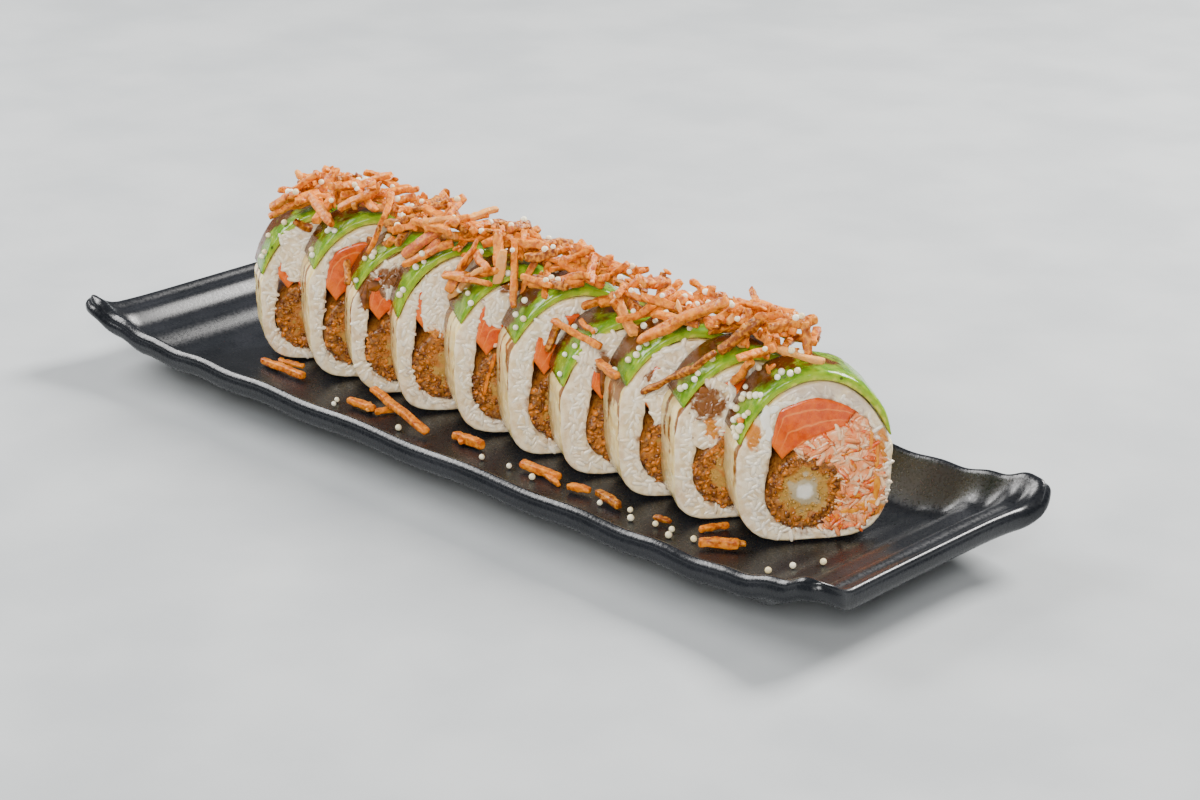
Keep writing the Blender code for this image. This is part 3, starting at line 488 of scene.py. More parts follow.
def makeDish():
    rows, columns = dish["lengthSteps"] + 1, dish["widthSteps"] + 1
    x = dish["halfLength"] * np.sin(np.linspace(-1, 1, rows) * np.pi / 2)
    across = np.sin(np.linspace(-1, 1, columns) * np.pi / 2)
    x, across = np.meshgrid(x, across, indexing="ij")
    radius = dish["cornerRadius"]
    past = np.maximum(0, np.abs(x) - (dish["halfLength"] - radius))
    half = dish["halfWidth"] - radius + np.sqrt(np.maximum(0, radius ** 2 - past ** 2))
    corner = cornerShare(x, across)
    px = x + np.sign(x) * dish["cornerFlare"][0] * corner
    py = across * (half + dish["cornerFlare"][1] * corner)
    fromEdge = np.minimum((1 - np.abs(across)) * half, dish["halfLength"] - np.abs(x))
    near = np.clip(1 - fromEdge / dish["edgeWidth"], 0, 1)
    bead = dish["bead"] * np.sin(np.pi * np.clip(fromEdge / dish["beadWidth"], 0, 1)) ** 2
    pz = dishTop(x, py) + bead - dish["edgeRound"] * (1 - np.sqrt(1 - near ** 2))
    points = np.stack([px, py, pz], -1).reshape(-1, 3)
    faces = [(i * columns + j, i * columns + j + 1, (i + 1) * columns + j + 1, (i + 1) * columns + j)
             for i in range(rows - 1) for j in range(columns - 1)]
    border = gridBorder(rows, columns)
    edge = points[border]
    pastFoot = np.maximum(0, np.abs(edge[:, 0]) - dish["footHalf"][0])
    outward = np.stack([np.copysign(pastFoot, edge[:, 0]), edge[:, 1], np.zeros(len(edge))], -1)
    outward /= np.linalg.norm(outward, axis=1)[:, None]
    bulge = dish["lipBulge"] + dish["cornerBulge"] * cornerShare(edge[:, 0], edge[:, 1] / dish["halfWidth"])
    rings = []
    for drop, out in dish["lip"]:
        reach = bulge * out if out > 0 else np.full(len(edge), dish["rimTuck"] * out)
        rings.append(edge + outward * reach[:, None] - [0, 0, drop])
    reach = np.abs(edge[:, :2]).max(axis=0)
    foot, ring, draft, soft = dish["footHalf"], dish["footRing"], dish["footDraft"], dish["footEdge"]
    steps = ((-draft, dish["footShoulder"]), (0, soft), (soft, 0),
             (ring, 0), (ring + draft, dish["footRecess"]))
    for inward, z in steps:
        size = (np.array(foot) - inward) / reach
        rings.append(np.column_stack([edge[:, :2] * size, np.full(len(edge), z)]))
    under = edge[:, :2] * dish["wallPlan"]
    wall = np.column_stack([under, dishTop(under[:, 0], under[:, 1]) - dish["wallThickness"]])
    rimRing, shoulder, sweep = rings[len(dish["lip"]) - 1], rings[len(dish["lip"])], []
    for above, below in ((rimRing, wall), (wall, shoulder)):  # underside, along the walls to the foot
        sweep += [above * (1 - level) + below * level for level in (0.25, 0.5, 0.75, 1)]
    rings = rings[: len(dish["lip"])] + sweep[:-1] + rings[len(dish["lip"]):]
    around = len(border)
    ringStart = len(points)
    allPoints = np.vstack([points] + rings)
    above = np.array(border)
    for r in range(len(rings)):
        below = ringStart + r * around + np.arange(around)
        faces += list(zip(above, np.roll(above, -1), np.roll(below, -1), below))
        above = below
    faces.append(tuple(above))
    side = np.abs(allPoints[:, 1]) - dish["levelWidth"]
    rim = np.clip(side / (dish["halfWidth"] - dish["levelWidth"] - 2), 0, 1) ** 2
    rim[ringStart:] = 1
    piece = addPiece("blackDish", allPoints, faces, [dishFinish], rim=rim)
    finishPiece(piece, "dish", "dish")


makeDish()
print("dish made")


# The roll: where each slice stands, and the loops of its section
roll = {
    "halfWidth": 22.8, "steps": 30, "restGap": 0.3, "gap": 0.6, "thickest": 21, "firstThickness": 18,
    "frontX": (-94.0, -69.5, -48.5, -26.5, 0.3, 24.2, 46.6, 70.6, 93.2, 117.1),
    "height": (52.0, 55.5, 52.5, 55.0, 54.0, 54.0, 50.0, 52.5, 51.5, 52.0),
    "turn": (32, 32, 33, 34, 33, 32, 32, 32, 33, 36),
    "squareness": (4.2, 4.5, 4.0, 4.5, 4.0, 5.0, 4.5, 4.5, 5.5, 3.6),
    "avocadoFirst": 1, "avocadoLast": (14, 13, 13, 14, 13, 13, 14, 13, 13, 14),
    "avocadoThickness": 3.4, "avocadoTip": 0.9, "leastWall": 2.0,
    "nominalHalfHeight": 26, "prawnCentre": (-2.3, -10.5), "prawnRadius": 10.2,
    "fillingShift": (4.5, 4.5, 4.5, 4.0, 3.5, 2.5, 1.0, 2.5, 3.5, 0.5),
    "hollowAngles": (4, 21, 36, 48, 62, 84, 99, 107, 115, 129, 147, 173, 219, 258, 290, 304, 325, 337, 349),
    "hollowRadii": (23.7, 24.0, 25.0, 27.0, 27.8, 28.6, 27.2, 26.6, 21.8, 15.8, 12.7,
                    11.7, 11.6, 11.9, 13.2, 14.9, 19.8, 23.2, 23.8),
    "salmonAngles": (59, 124), "salmonUnderAngles": (59, 69, 81, 97, 124),
    "salmonUnderRadii": (22.4, 18.9, 16.3, 13.9, 12.0), "crabAngles": (-70, 103), "crabStep": 55,
    "pearlRadius": 1.25, "pearlSeed": 70, "pearlDepths": (0.25, 0.75), "pearlSteps": (4, 1),
    "pearlStanding": 0.5,
}


# A point of the slice's outer section, steps counted counter-clockwise from its right
def outlinePoint(place, step):
    angle = 2 * np.pi * np.asarray(step, float) / roll["steps"]
    c, s = np.cos(angle), np.sin(angle)
    power = np.where(s < 0, place["squareness"], 2.0)
    reach = (np.abs(c) ** power + np.abs(s) ** power) ** (-1 / power)
    return np.stack([c * reach * roll["halfWidth"], s * reach * place["height"] / 2], -1)


def avocadoThickness(step, last):
    first = roll["avocadoFirst"]
    along = np.clip(np.abs((2 * step - first - last) / (last - first)), 0, 1)
    return roll["avocadoTip"] + (roll["avocadoThickness"] - roll["avocadoTip"]) * (1 - along ** 3)


def inset(points, distance):
    return points * (1 - np.asarray(distance)[..., None] / np.linalg.norm(points, axis=-1)[..., None])


def faceDistance(front, turn, behind, across):
    normal = np.array([math.cos(turn), -math.sin(turn)])
    place = front + np.array([math.sin(turn), math.cos(turn)]) * across
    facing = np.array([math.cos(behind["turn"]), -math.sin(behind["turn"])])
    return (place - behind["front"]) @ facing / (normal @ facing)


def layOutSlices():
    made = []
    for i, x in enumerate(roll["frontX"]):
        front, turn = np.array([x, 0.0]), math.radians(roll["turn"][i])
        thickness = roll["firstThickness"]
        if made:
            room = min(faceDistance(front, turn, made[-1], side * roll["halfWidth"]) for side in (-1, 1))
            thickness = min(roll["thickest"], room - roll["gap"])
        place = {"number": i + 1, "front": front, "turn": turn, "thickness": thickness,
                 "height": roll["height"][i], "squareness": roll["squareness"][i],
                 "last": roll["avocadoLast"][i]}
        place["stretch"] = place["height"] / 2 / roll["nominalHalfHeight"]
        place["centre"] = np.array(roll["prawnCentre"]) - [roll["fillingShift"][i], 0]
        place["pearls"] = pearlSpots(place)
        made.append(place)
    return made


# The pearls that the slice's solid has on its avocado
def pearlSpots(place):
    rng = random.Random(roll["pearlSeed"] + place["number"])
    lowest, topmost = (place["last"] - n for n in roll["pearlSteps"])
    depth = -place["thickness"] * rng.uniform(*roll["pearlDepths"])
    step = rng.uniform(lowest, topmost)
    low, part = int(step), step % 1
    spot = outlinePoint(place, low) * (1 - part) + outlinePoint(place, low + 1) * part
    spot = inset(spot, -roll["pearlRadius"] * roll["pearlStanding"])
    return [(depth, spot[0], spot[1])]


# Local points (out of the cut face, across, up) in the shared frame
def toWorld(place, local):
    local = np.asarray(local, float)
    c, s = math.cos(place["turn"]), math.sin(place["turn"])
    return np.stack([place["front"][0] + local[..., 0] * c + local[..., 1] * s,
                     place["front"][1] - local[..., 0] * s + local[..., 1] * c,
                     dish["floor"] + roll["restGap"] + place["height"] / 2 + local[..., 2]], -1)


# Across and up of a point given round the prawn's middle
def fitted(place, angle, radius):
    across = np.cos(angle) * radius + place["centre"][0]
    up = np.sin(angle) * radius + place["centre"][1]
    return np.stack([across, up * place["stretch"]], -1)


# How far the rice reaches from the prawn's middle: under the avocado, or to its own uneven rim
def rimRadius(place, angle):
    steps = np.linspace(0, roll["steps"], 481)[:-1]
    last, first = place["last"], roll["avocadoFirst"]
    outside = np.maximum(np.maximum(first - steps, steps - last), 0)
    outside = np.minimum(outside, roll["steps"] - steps + first)
    cover = np.clip(1 - outside / 0.6, 0, 1)
    cut = (avocadoThickness(np.clip(steps, first, last), last) + 0.25) * cover + 0.15 * (1 - cover)
    rim = inset(outlinePoint(place, steps), cut)
    x, y = rim[:, 0] - place["centre"][0], rim[:, 1] / place["stretch"] - place["centre"][1]
    around, reach = np.arctan2(y, x) % (2 * np.pi), np.hypot(x, y)
    order = np.argsort(around)
    return np.interp(angle % (2 * np.pi), around[order], reach[order], period=2 * np.pi)


# The wall round the filling
def hollowRadius(place, angle):
    radius = np.interp(np.degrees(angle) % 360, roll["hollowAngles"], roll["hollowRadii"], period=360)
    return np.minimum(radius, rimRadius(place, angle) - roll["leastWall"])


def salmonUnder(angle):
    return np.interp(np.degrees(angle), roll["salmonUnderAngles"], roll["salmonUnderRadii"])


slices = layOutSlices()


# Rice with its thin wrapper: a thick ring, rounded at both cut faces, grainy on the faces
rice = {
    "around": 150, "edge": 1.1, "edgeSteps": 5, "faceSteps": 10, "wallSteps": 14, "wrapperEdge": 0.3,
    "faceLumps": 0.3, "wallLumps": 0.5, "lumpSize": 1.8, "soak": 2.6,
    "stains": (  # kind (0 brown, 1 orange, 2 pinkish grey), slice, across, up, half width, half height
        (0, 3, -15.5, 9.5, 4.5, 5.5), (0, 3, -7.0, 14.5, 7.0, 3.0), (0, 7, -9.5, 7.0, 2.6, 7.0),
        (0, 9, -13.0, 11.4, 4.6, 5.2), (0, 6, -12.0, -7.4, 1.5, 5.0), (0, 5, -1.5, 21.5, 7.0, 2.0),
        (0, 8, -13.5, 12.3, 2.0, 1.2), (0, 2, -10.5, 14.5, 3.0, 2.0), (1, 10, -18.0, 7.3, 2.2, 3.8),
        (1, 10, 19.0, -4.0, 1.6, 11.0), (1, 10, 14.0, -17.5, 7.0, 2.4), (1, 9, -12.0, 3.0, 2.0, 3.0),
        (1, 6, -13.0, 4.0, 2.0, 3.0), (1, 4, -11.0, -2.0, 1.5, 4.0), (2, 10, -1.0, 21.5, 12.0, 3.4),
        (2, 10, 13.5, 17.0, 5.0, 4.0), (2, 3, -12.0, -2.0, 4.0, 8.0),
    ),
}


# Shares of brown, orange and greyish pink over a slice, soaked in near the filling and under the stains
def tintOf(place, local, radius, hollow):
    tint = np.zeros(local.shape[:-1] + (3,))
    tint[..., 0] = 0.42 * ease(1 - (radius - hollow) / rice["soak"])
    for kind, number, across, up, halfWidth, halfHeight in rice["stains"]:
        if number == place["number"]:
            reach = np.hypot((local[..., 1] - across) / halfWidth, (local[..., 2] - up) / halfHeight)
            tint[..., kind] = np.maximum(tint[..., kind], ease(1.6 - reach))
    return tint


# Runs of brown sauce down the wrapper from the ends of the avocado
def dripsOn(place, local):
    depth, across, up = (local[..., k] for k in range(3))
    spots = np.stack([depth * 0.45, up * 0.07, across * 0.03 + place["number"] * 9], -1)
    runs = lumps(spots.reshape(-1, 3), 1.3).reshape(depth.shape)
    return ease((runs - 0.02) * 3.2) * ease((up + 16) / 22)


def makeRice(place):
    angles = np.linspace(0, 2 * np.pi, rice["around"], endpoint=False)
    rim, hollow = rimRadius(place, angles), hollowRadius(place, angles)
    edge, thickness = rice["edge"], place["thickness"]
    turns = np.linspace(0, np.pi / 2, rice["edgeSteps"])
    profile = [(None, 1 - k / rice["faceSteps"], 0.0) for k in range(rice["faceSteps"])]  # hollow to rim
    profile += [(edge * (1 - math.cos(q)), 0, -edge * (1 - math.sin(q))) for q in turns[::-1]]
    wall = np.linspace(-edge, edge - thickness, rice["wallSteps"])[1:-1]
    profile += [(0, 0, d) for d in wall]
    profile += [(edge * (1 - math.cos(q)), 0, edge * (1 - math.sin(q)) - thickness) for q in turns]
    profile += [(None, (k + 1) / rice["faceSteps"], -thickness) for k in range(rice["faceSteps"])]
    local, skin, cut, radii = [], [], [], []
    for inward, share, depth in profile:
        radius = rim - inward if inward is not None else (rim - edge) * (1 - share) + hollow * share
        flat = fitted(place, angles, radius)
        local.append(np.column_stack([np.full(len(angles), depth), flat]))
        radii.append(radius)
        skin.append(inward is not None and inward <= rice["wrapperEdge"])
        cut.append(inward is None)
    local = np.array(local)
    rings, around = local.shape[:2]
    world = toWorld(place, local).reshape(-1, 3)
    bump = lumps(world, rice["lumpSize"]).reshape(rings, around)
    swell = lumps(world, 7.0, 5.0).reshape(rings, around)
    onWall = np.array(skin)
    outDirection = np.column_stack([np.zeros(around), np.cos(angles), np.sin(angles)])
    local[onWall] += outDirection * ((bump * 0.45 + swell * 0.55) * rice["wallLumps"])[onWall][..., None]
    facing = np.where(np.arange(rings) < rings / 2, 1.0, -1.0)[:, None]
    inner = (np.array(cut)[:, None] * np.ones(around)).astype(bool)
    local[..., 0] += np.where(inner, bump * facing * rice["faceLumps"], 0)
    faces = ringFaces(rings, around)
    ringSkin = np.array([1 if skin[r] and skin[(r + 1) % rings] else 0 for r in range(rings)])
    tint = tintOf(place, local, np.array(radii), hollow)
    tint[onWall, :, 0] = dripsOn(place, local)[onWall]
    piece = addPiece(f"rice{place['number']:02d}", toWorld(place, local).reshape(-1, 3), faces,
                     [riceFinish, wrapperFinish], np.repeat(ringSkin, around), tint=tint.reshape(-1, 3))
    finishPiece(piece, "rice", f"rice_{place['number']:02d}")
    front = slice(2, rice["faceSteps"] - 1)
    back = slice(rings - rice["faceSteps"] + 1, rings - 2)
    return [(toWorld(place, local[rows]), tint[rows]) for rows in (front, back)]


# Fillings: each is a bar through the slice, a patch in polar form round the prawn's middle
filling = {"overlap": 0.1, "edge": 1.0, "prawnReach": 11.2}


# A closed bar between two radii; relief gives how far its cut face stands out
def polarBar(place, slotName, angles, inner, outer, across, relief, finish,
             closed=False, stand=0.0, coreHidden=False):
    shares = np.linspace(0, 1, across)
    angle, share = np.meshgrid(angles, shares, indexing="ij")
    radius = inner[:, None] * (1 - share) + outer[:, None] * share
    flat = fitted(place, angle, radius)
    width = (outer - inner)[:, None]
    fromEdge = (1 - share) * width if closed else np.minimum(share, 1 - share) * width
    if not closed:
        along = np.linspace(0, 1, len(angles))[:, None] * (angles[-1] - angles[0]) * radius.mean()
        fromEdge = np.minimum(fromEdge, np.minimum(along, along.max() - along))
    near = np.clip(1 - fromEdge / filling["edge"], 0, 1)
    pillow = filling["edge"] * (1 - np.sqrt(1 - near ** 2)) * 0.7
    world = toWorld(place, np.concatenate([np.zeros_like(angle)[..., None], flat], -1))
    height = relief(world.reshape(-1, 3), radius.ravel()).reshape(angle.shape)
    front = np.concatenate([(height - pillow + stand)[..., None], flat], -1)
    back = np.concatenate([(-place["thickness"] - height + pillow - stand)[..., None], flat], -1)
    rows, columns = angle.shape
    count, faces = rows * columns, []
    for i in range(rows if closed else rows - 1):
        n = (i + 1) % rows
        for j in range(columns - 1):
            quad = (i * columns + j, n * columns + j, n * columns + j + 1, i * columns + j + 1)
            faces += [quad, tuple(count + q for q in quad[::-1])]
    if closed:
        border = [i * columns + columns - 1 for i in range(rows)]
        core = [i * columns for i in range(rows)]
        faces += [tuple(core), tuple(count + i for i in core[::-1])]
    else:
        border = gridBorder(rows, columns)
    for a, b in zip(border, border[1:] + border[:1]):
        faces.append((a, b, count + b, count + a))
    local = np.vstack([front.reshape(-1, 3), back.reshape(-1, 3)])
    share3 = np.stack([angle * 0 + np.linspace(0, 1, rows)[:, None], share, radius], -1).reshape(-1, 3)
    ringed = radius * 0.55 + 4.4 if coreHidden else radius
    tone = 0.45 + 0.5 * lumps(world.reshape(-1, 3), 2.5)
    piece = addPiece(f"{slotName}{place['number']:02d}", toWorld(place, local), faces, [finish],
                     share=np.vstack([share3, share3]), ring=np.tile(ringed.ravel(), 2),
                     tone=np.tile(tone, 2))
    finishPiece(piece, slotName, f"{slotName}_{place['number']:02d}")
    return toWorld(place, front), toWorld(place, back), ringed


def salmonRelief(points, radius):
    return 0.25 * lumps(points, 6.0)


def crabRelief(points, radius):
    return 0.6 * lumps(points, 2.2) + 0.2


def prawnRelief(points, radius):
    flesh = 0.35 * (1 - ease((radius - 2.0) / 3.5))
    crust = ease((radius - 6.6) / 1.4)
    return flesh + crust * (0.25 + 0.75 * lumps(points, 1.5)) + 0.2 * lumps(points, 3.0)


def makeFillings(place):
    gap = filling["overlap"]
    low, high = np.radians(roll["salmonAngles"])
    angles = np.linspace(low, high, 40)
    polarBar(place, "salmon", angles, salmonUnder(angles), hollowRadius(place, angles) + gap, 24,
             salmonRelief, salmonFinish, stand=0.15)
    start, end = np.radians(roll["crabAngles"])
    angles = np.linspace(start, end, 70)
    step = ease((np.degrees(angles) - roll["crabStep"]) / 4)
    outer = hollowRadius(place, angles) * (1 - step) + salmonUnder(angles) * step + gap
    inner = np.full(len(angles), roll["prawnRadius"] - 0.2)
    crab = polarBar(place, "crab", angles, inner, outer, 16, crabRelief, crabFinish)
    angles = np.linspace(0, 2 * np.pi, 72, endpoint=False)
    ragged = lumps(onCircle(angles, place["number"]), 0.3)
    outline = np.minimum(hollowRadius(place, angles) + gap, filling["prawnReach"] + 1.1 * ragged)
    prawn = polarBar(place, "prawn", angles, np.full(72, 0.4), outline, 20,
                     prawnRelief, prawnFinish, closed=True, coreHidden=place["number"] < 10)
    return crab, prawn


# Avocado: a thin blanket over each slice
avocado = {
    "steps": 64, "around": 36, "squareDepth": 7.0, "squareAcross": 3.2, "lumps": 0.35, "overhang": 0.2,
    "sauceReach": 12, "farGreen": 0.45,
}


def makeAvocado(place):
    first, last = roll["avocadoFirst"], place["last"]
    steps = np.linspace(first, last, avocado["steps"])
    turn = np.linspace(0, 2 * np.pi, avocado["around"], endpoint=False)
    c, s = np.cos(turn), np.sin(turn)
    along = np.sign(c) * np.abs(c) ** (2 / avocado["squareDepth"])
    inward = 0.5 - 0.5 * np.sign(s) * np.abs(s) ** (2 / avocado["squareAcross"])
    thickness = place["thickness"] + avocado["overhang"]
    depth = -place["thickness"] / 2 + along * thickness / 2
    outer = outlinePoint(place, steps)
    taper = avocadoThickness(steps, last)
    flat = inset(outer[:, None, :].repeat(len(turn), 1), inward[None, :] * taper[:, None])
    local = np.concatenate([np.broadcast_to(depth[None, :, None], flat.shape[:2] + (1,)), flat], -1)
    world = toWorld(place, local).reshape(-1, 3)
    bump = (lumps(world, 5.0, 2.0) + 0.4 * lumps(world, 1.8, 7.0)).reshape(flat.shape[:2])
    out = flat / np.linalg.norm(flat, axis=-1)[..., None]
    local[..., 1:] += out * (bump * avocado["lumps"] * (1 - inward))[..., None]
    local[..., 0] += 0.35 * bump * np.sign(along)
    rows, around = flat.shape[:2]
    faces = ringFaces(rows, around, closed=False)
    faces += [tuple(range(around)), tuple(range((rows - 1) * around, rows * around))]
    back = np.clip(-local[..., 0] / place["thickness"], 0, 1)
    y = toWorld(place, local)[..., 1]
    underHeap = ease(1.6 - np.abs(y) / avocado["sauceReach"]) * (1 - inward)
    behind = ease((back - 0.25) / 0.6) * (1 - avocado["farGreen"] * ease((y - 3) / 10))
    sauce = np.maximum(behind, 0.75 * underHeap * ease((back - 0.05) / 0.25)) + 0.35 * bump
    number = f"{place['number']:02d}"
    piece = addPiece("avocado" + number, toWorld(place, local).reshape(-1, 3), faces, [avocadoFinish],
                     out=np.broadcast_to(1 - inward, (rows, around)).ravel(), sauce=sauce.ravel())
    finishPiece(piece, "avocado", "avocado_" + number)


riceFaces, crabBars, prawnBars = [], [], []
for place in slices:
    riceFaces += makeRice(place)
    crab, prawn = makeFillings(place)
    crabBars.append(crab)
    prawnBars.append(prawn)
    makeAvocado(place)
print("slices made:", len(slices))


# Geometry Nodes: one tree scatters a small shape over a surface, one puts shapes at given places
def geometryTree(name, inputs):
    tree = bpy.data.node_groups.new(name, "GeometryNodeTree")
    tree.interface.new_socket(name="Geometry", in_out="OUTPUT", socket_type="NodeSocketGeometry")
    sockets = {}
    for label, (kind, value) in inputs.items():
        made = tree.interface.new_socket(name=label, in_out="INPUT", socket_type="NodeSocket" + kind)
        if value is not None:
            made.default_value = value
        sockets[label] = made.identifier
    return tree, sockets, tree.nodes.new("NodeGroupInput").outputs, tree.nodes.new("NodeGroupOutput")


def vectorMath(tree, operation, a, b):
    second = "Scale" if operation == "SCALE" else 1
    return addNode(tree, "ShaderNodeVectorMath", {0: a, second: b}, operation=operation).outputs[0]


# Realized shapes, made uneven by two sizes of noise, smooth shaded and given their material
def roughenAndPaint(tree, given, out, geometry):
    realized = addNode(tree, "GeometryNodeRealizeInstances", {"Geometry": geometry}).outputs[0]
    finer = addNode(tree, "GeometryNodeSubdivisionSurface", {
        "Mesh": realized, "Level": given["Level"]}).outputs[0]
    place = addNode(tree, "GeometryNodeInputPosition").outputs[0]
    normal = addNode(tree, "GeometryNodeInputNormal").outputs[0]
    wide = addNode(tree, "ShaderNodeTexNoise", {
        "Vector": place, "Scale": given["Bend scale"], "Detail": 1.0}).outputs["Color"]
    bent = vectorMath(tree, "SCALE", vectorMath(tree, "SUBTRACT", wide, (0.5, 0.5, 0.5)), given["Bend"])
    fine = addNode(tree, "ShaderNodeTexNoise", {
        "Vector": place, "Scale": given["Relief scale"], "Detail": 2.0}).outputs[0]
    lift = calculate(tree, "MULTIPLY", calculate(tree, "SUBTRACT", fine, 0.5), given["Relief"])
    offset = vectorMath(tree, "ADD", bent, vectorMath(tree, "SCALE", normal, lift))
    moved = addNode(tree, "GeometryNodeSetPosition", {"Geometry": finer, "Offset": offset}).outputs[0]
    smooth = addNode(tree, "GeometryNodeSetShadeSmooth", {"Geometry": moved}).outputs[0]
    painted = addNode(tree, "GeometryNodeSetMaterial", {"Geometry": smooth, "Material": given["Material"]})
    tree.links.new(painted.outputs[0], out.inputs[0])


shapeInputs = {
    "Template": ("Object", None), "Material": ("Material", None), "Level": ("Int", 0),
    "Bend": ("Float", 0.0), "Bend scale": ("Float", 80.0),
    "Relief": ("Float", 0.0), "Relief scale": ("Float", 700.0),
}


def makeScatterTree():
    inputs = {
        "Geometry": ("Geometry", None), "Spacing": ("Float", 0.002), "Seed": ("Int", 0),
        "Smallest": ("Float", 0.8), "Largest": ("Float", 1.2),
        "Sink": ("Float", 0.0), "Tilt": ("Float", 0.3),
    }
    tree, sockets, given, out = geometryTree("scatterOverSurface", inputs | shapeInputs)
    spots = addNode(tree, "GeometryNodeDistributePointsOnFaces", {
        "Mesh": given["Geometry"], "Distance Min": given["Spacing"],
        "Density Max": 1e6, "Seed": given["Seed"]},
        distribute_method="POISSON")
    template = addNode(tree, "GeometryNodeObjectInfo", {"Object": given["Template"]}).outputs["Geometry"]
    otherWay = calculate(tree, "MULTIPLY", given["Tilt"], -1.0)
    least = addNode(tree, "ShaderNodeCombineXYZ", {0: otherWay, 1: otherWay, 2: -math.pi})
    most = addNode(tree, "ShaderNodeCombineXYZ", {0: given["Tilt"], 1: given["Tilt"], 2: math.pi})
    turn = addNode(tree, "FunctionNodeRandomValue", {0: least.outputs[0], 1: most.outputs[0], "Seed": 1},
                   data_type="FLOAT_VECTOR").outputs[0]
    rotation = addNode(tree, "FunctionNodeEulerToRotation", {0: turn}).outputs[0]
    turned = addNode(tree, "FunctionNodeRotateRotation", {
        0: spots.outputs["Rotation"], 1: rotation}, rotation_space="LOCAL").outputs[0]
    size = addNode(tree, "FunctionNodeRandomValue", {
        2: given["Smallest"], 3: given["Largest"], "Seed": 2}).outputs[1]
    sunk = vectorMath(tree, "SCALE", spots.outputs["Normal"], given["Sink"])
    points = addNode(tree, "GeometryNodeSetPosition", {
        "Geometry": spots.outputs["Points"], "Offset": sunk}).outputs[0]
    tone = addNode(tree, "FunctionNodeRandomValue", {2: 0.0, 3: 1.0, "Seed": 3}).outputs[1]
    toned = addNode(tree, "GeometryNodeStoreNamedAttribute", {
        "Geometry": points, "Name": "tone", "Value": tone}, data_type="FLOAT", domain="POINT").outputs[0]
    shapes = addNode(tree, "GeometryNodeInstanceOnPoints", {
        "Points": toned, "Instance": template, "Rotation": turned, "Scale": size}).outputs[0]
    roughenAndPaint(tree, given, out, shapes)
    return tree, sockets


# Points carry turn, size and tone attributes, one shape for each
def makePlaceTree():
    tree, sockets, given, out = geometryTree("shapesAtPoints", {"Geometry": ("Geometry", None)} | shapeInputs)
    template = addNode(tree, "GeometryNodeObjectInfo", {"Object": given["Template"]}).outputs["Geometry"]
    turn, size = (addNode(tree, "GeometryNodeInputNamedAttribute", {"Name": name},
                          data_type="FLOAT_VECTOR").outputs[0] for name in ("turn", "size"))
    rotation = addNode(tree, "FunctionNodeEulerToRotation", {0: turn}).outputs[0]
    points = addNode(tree, "GeometryNodeMeshToPoints", {"Mesh": given["Geometry"]}).outputs[0]
    shapes = addNode(tree, "GeometryNodeInstanceOnPoints", {
        "Points": points, "Instance": template, "Rotation": rotation, "Scale": size}).outputs[0]
    roughenAndPaint(tree, given, out, shapes)
    return tree, sockets


scatterTree, placeTree = makeScatterTree(), makePlaceTree()


# Runs a tree on a base mesh and keeps the result as a plain mesh
def grow(name, base, treeAndSockets, slotName, nodes=(), **values):
    tree, sockets = treeAndSockets
    modifier = base.modifiers.new("grow", "NODES")
    modifier.node_group = tree
    for label, value in values.items():
        modifier[sockets[label.replace("_", " ")]] = value
    base.update_tag()
    mesh = bpy.data.meshes.new_from_object(base.evaluated_get(bpy.context.evaluated_depsgraph_get()))
    mesh.name = name
    base.modifiers.clear()
    bpy.data.objects.remove(base)
    piece = bpy.data.objects.new(name, mesh)
    bpy.context.scene.collection.objects.link(piece)
    finishPiece(piece, slotName, *nodes)
    print(" ", name, len(mesh.polygons), "faces")
    return piece


def pointCloud(name, spots, turns, sizes, tones):
    return addPiece(name, spots, [], [], outward=False, turn=turns, size=np.asarray(sizes, float), tone=tones)


# One loose surface through several grids of points, to scatter over
def surfaceOf(name, grids, **values):
    points, faces = [], []
    for grid, wraps, flip in grids:
        start, (rows, columns) = sum(len(p) for p in points), grid.shape[:2]
        points.append(grid.reshape(-1, 3))
        for i in range(rows - 1):
            for j in range(columns if wraps else columns - 1):
                n = (j + 1) % columns
                quad = (start + i * columns + j, start + (i + 1) * columns + j,
                        start + (i + 1) * columns + n, start + i * columns + n)
                faces.append(quad[::-1] if flip else quad)
    return addPiece(name, np.vstack(points), faces, [], outward=False, **values)


# The front and back of each bar, between these of its columns
def bothFaces(bars, columns):
    return [(bar[side][:, columns], False, side == 1) for bar in bars for side in (0, 1)]


# A closed capsule along X; a higher power gives it squarer ends
def ovalTemplate(name, length, width, height, sides=6, rings=5, power=2.0):
    points, faces = [(-length / 2, 0, 0)], []
    for r in range(1, rings):
        x = -math.cos(math.pi * r / rings)
        reach = (1 - abs(x) ** power) ** (1 / power)
        for k in range(sides):
            a = 2 * math.pi * k / sides
            points.append((x * length / 2, math.cos(a) * width / 2 * reach, math.sin(a) * height / 2 * reach))
    points.append((length / 2, 0, 0))
    end = len(points) - 1
    for k in range(sides):
        n = (k + 1) % sides
        faces += [(0, 1 + n, 1 + k), (end, end - sides + k, end - sides + n)]
        for r in range(rings - 2):
            a, b = 1 + r * sides, 1 + (r + 1) * sides
            faces.append((a + k, a + n, b + n, b + k))
    return addPiece(name, points, faces, [])


# A square stick along X, one unit long and one unit across, with slightly narrower ends
def stickTemplate():
    corners = (
        (-0.5, -0.41), (-0.41, -0.5), (0.41, -0.5), (0.5, -0.41),
        (0.5, 0.41), (0.41, 0.5), (-0.41, 0.5), (-0.5, 0.41),
    )
    stations = (  # place along X, width
        (-0.5, 0.78), (-0.485, 0.98), (-0.3, 1.0), (-0.1, 1.06),
        (0.1, 1.02), (0.3, 1.05), (0.485, 0.96), (0.5, 0.76),
    )
    unit, around, points = 1000, len(corners), []
    for x, width in stations:
        points += [(x * unit, y * width * unit, z * width * unit) for y, z in corners]
    faces = ringFaces(len(stations), around, closed=False)
    faces += [tuple(range(around)), tuple(range(len(points) - around, len(points)))]
    return addPiece("stickTemplate", points, faces, [])


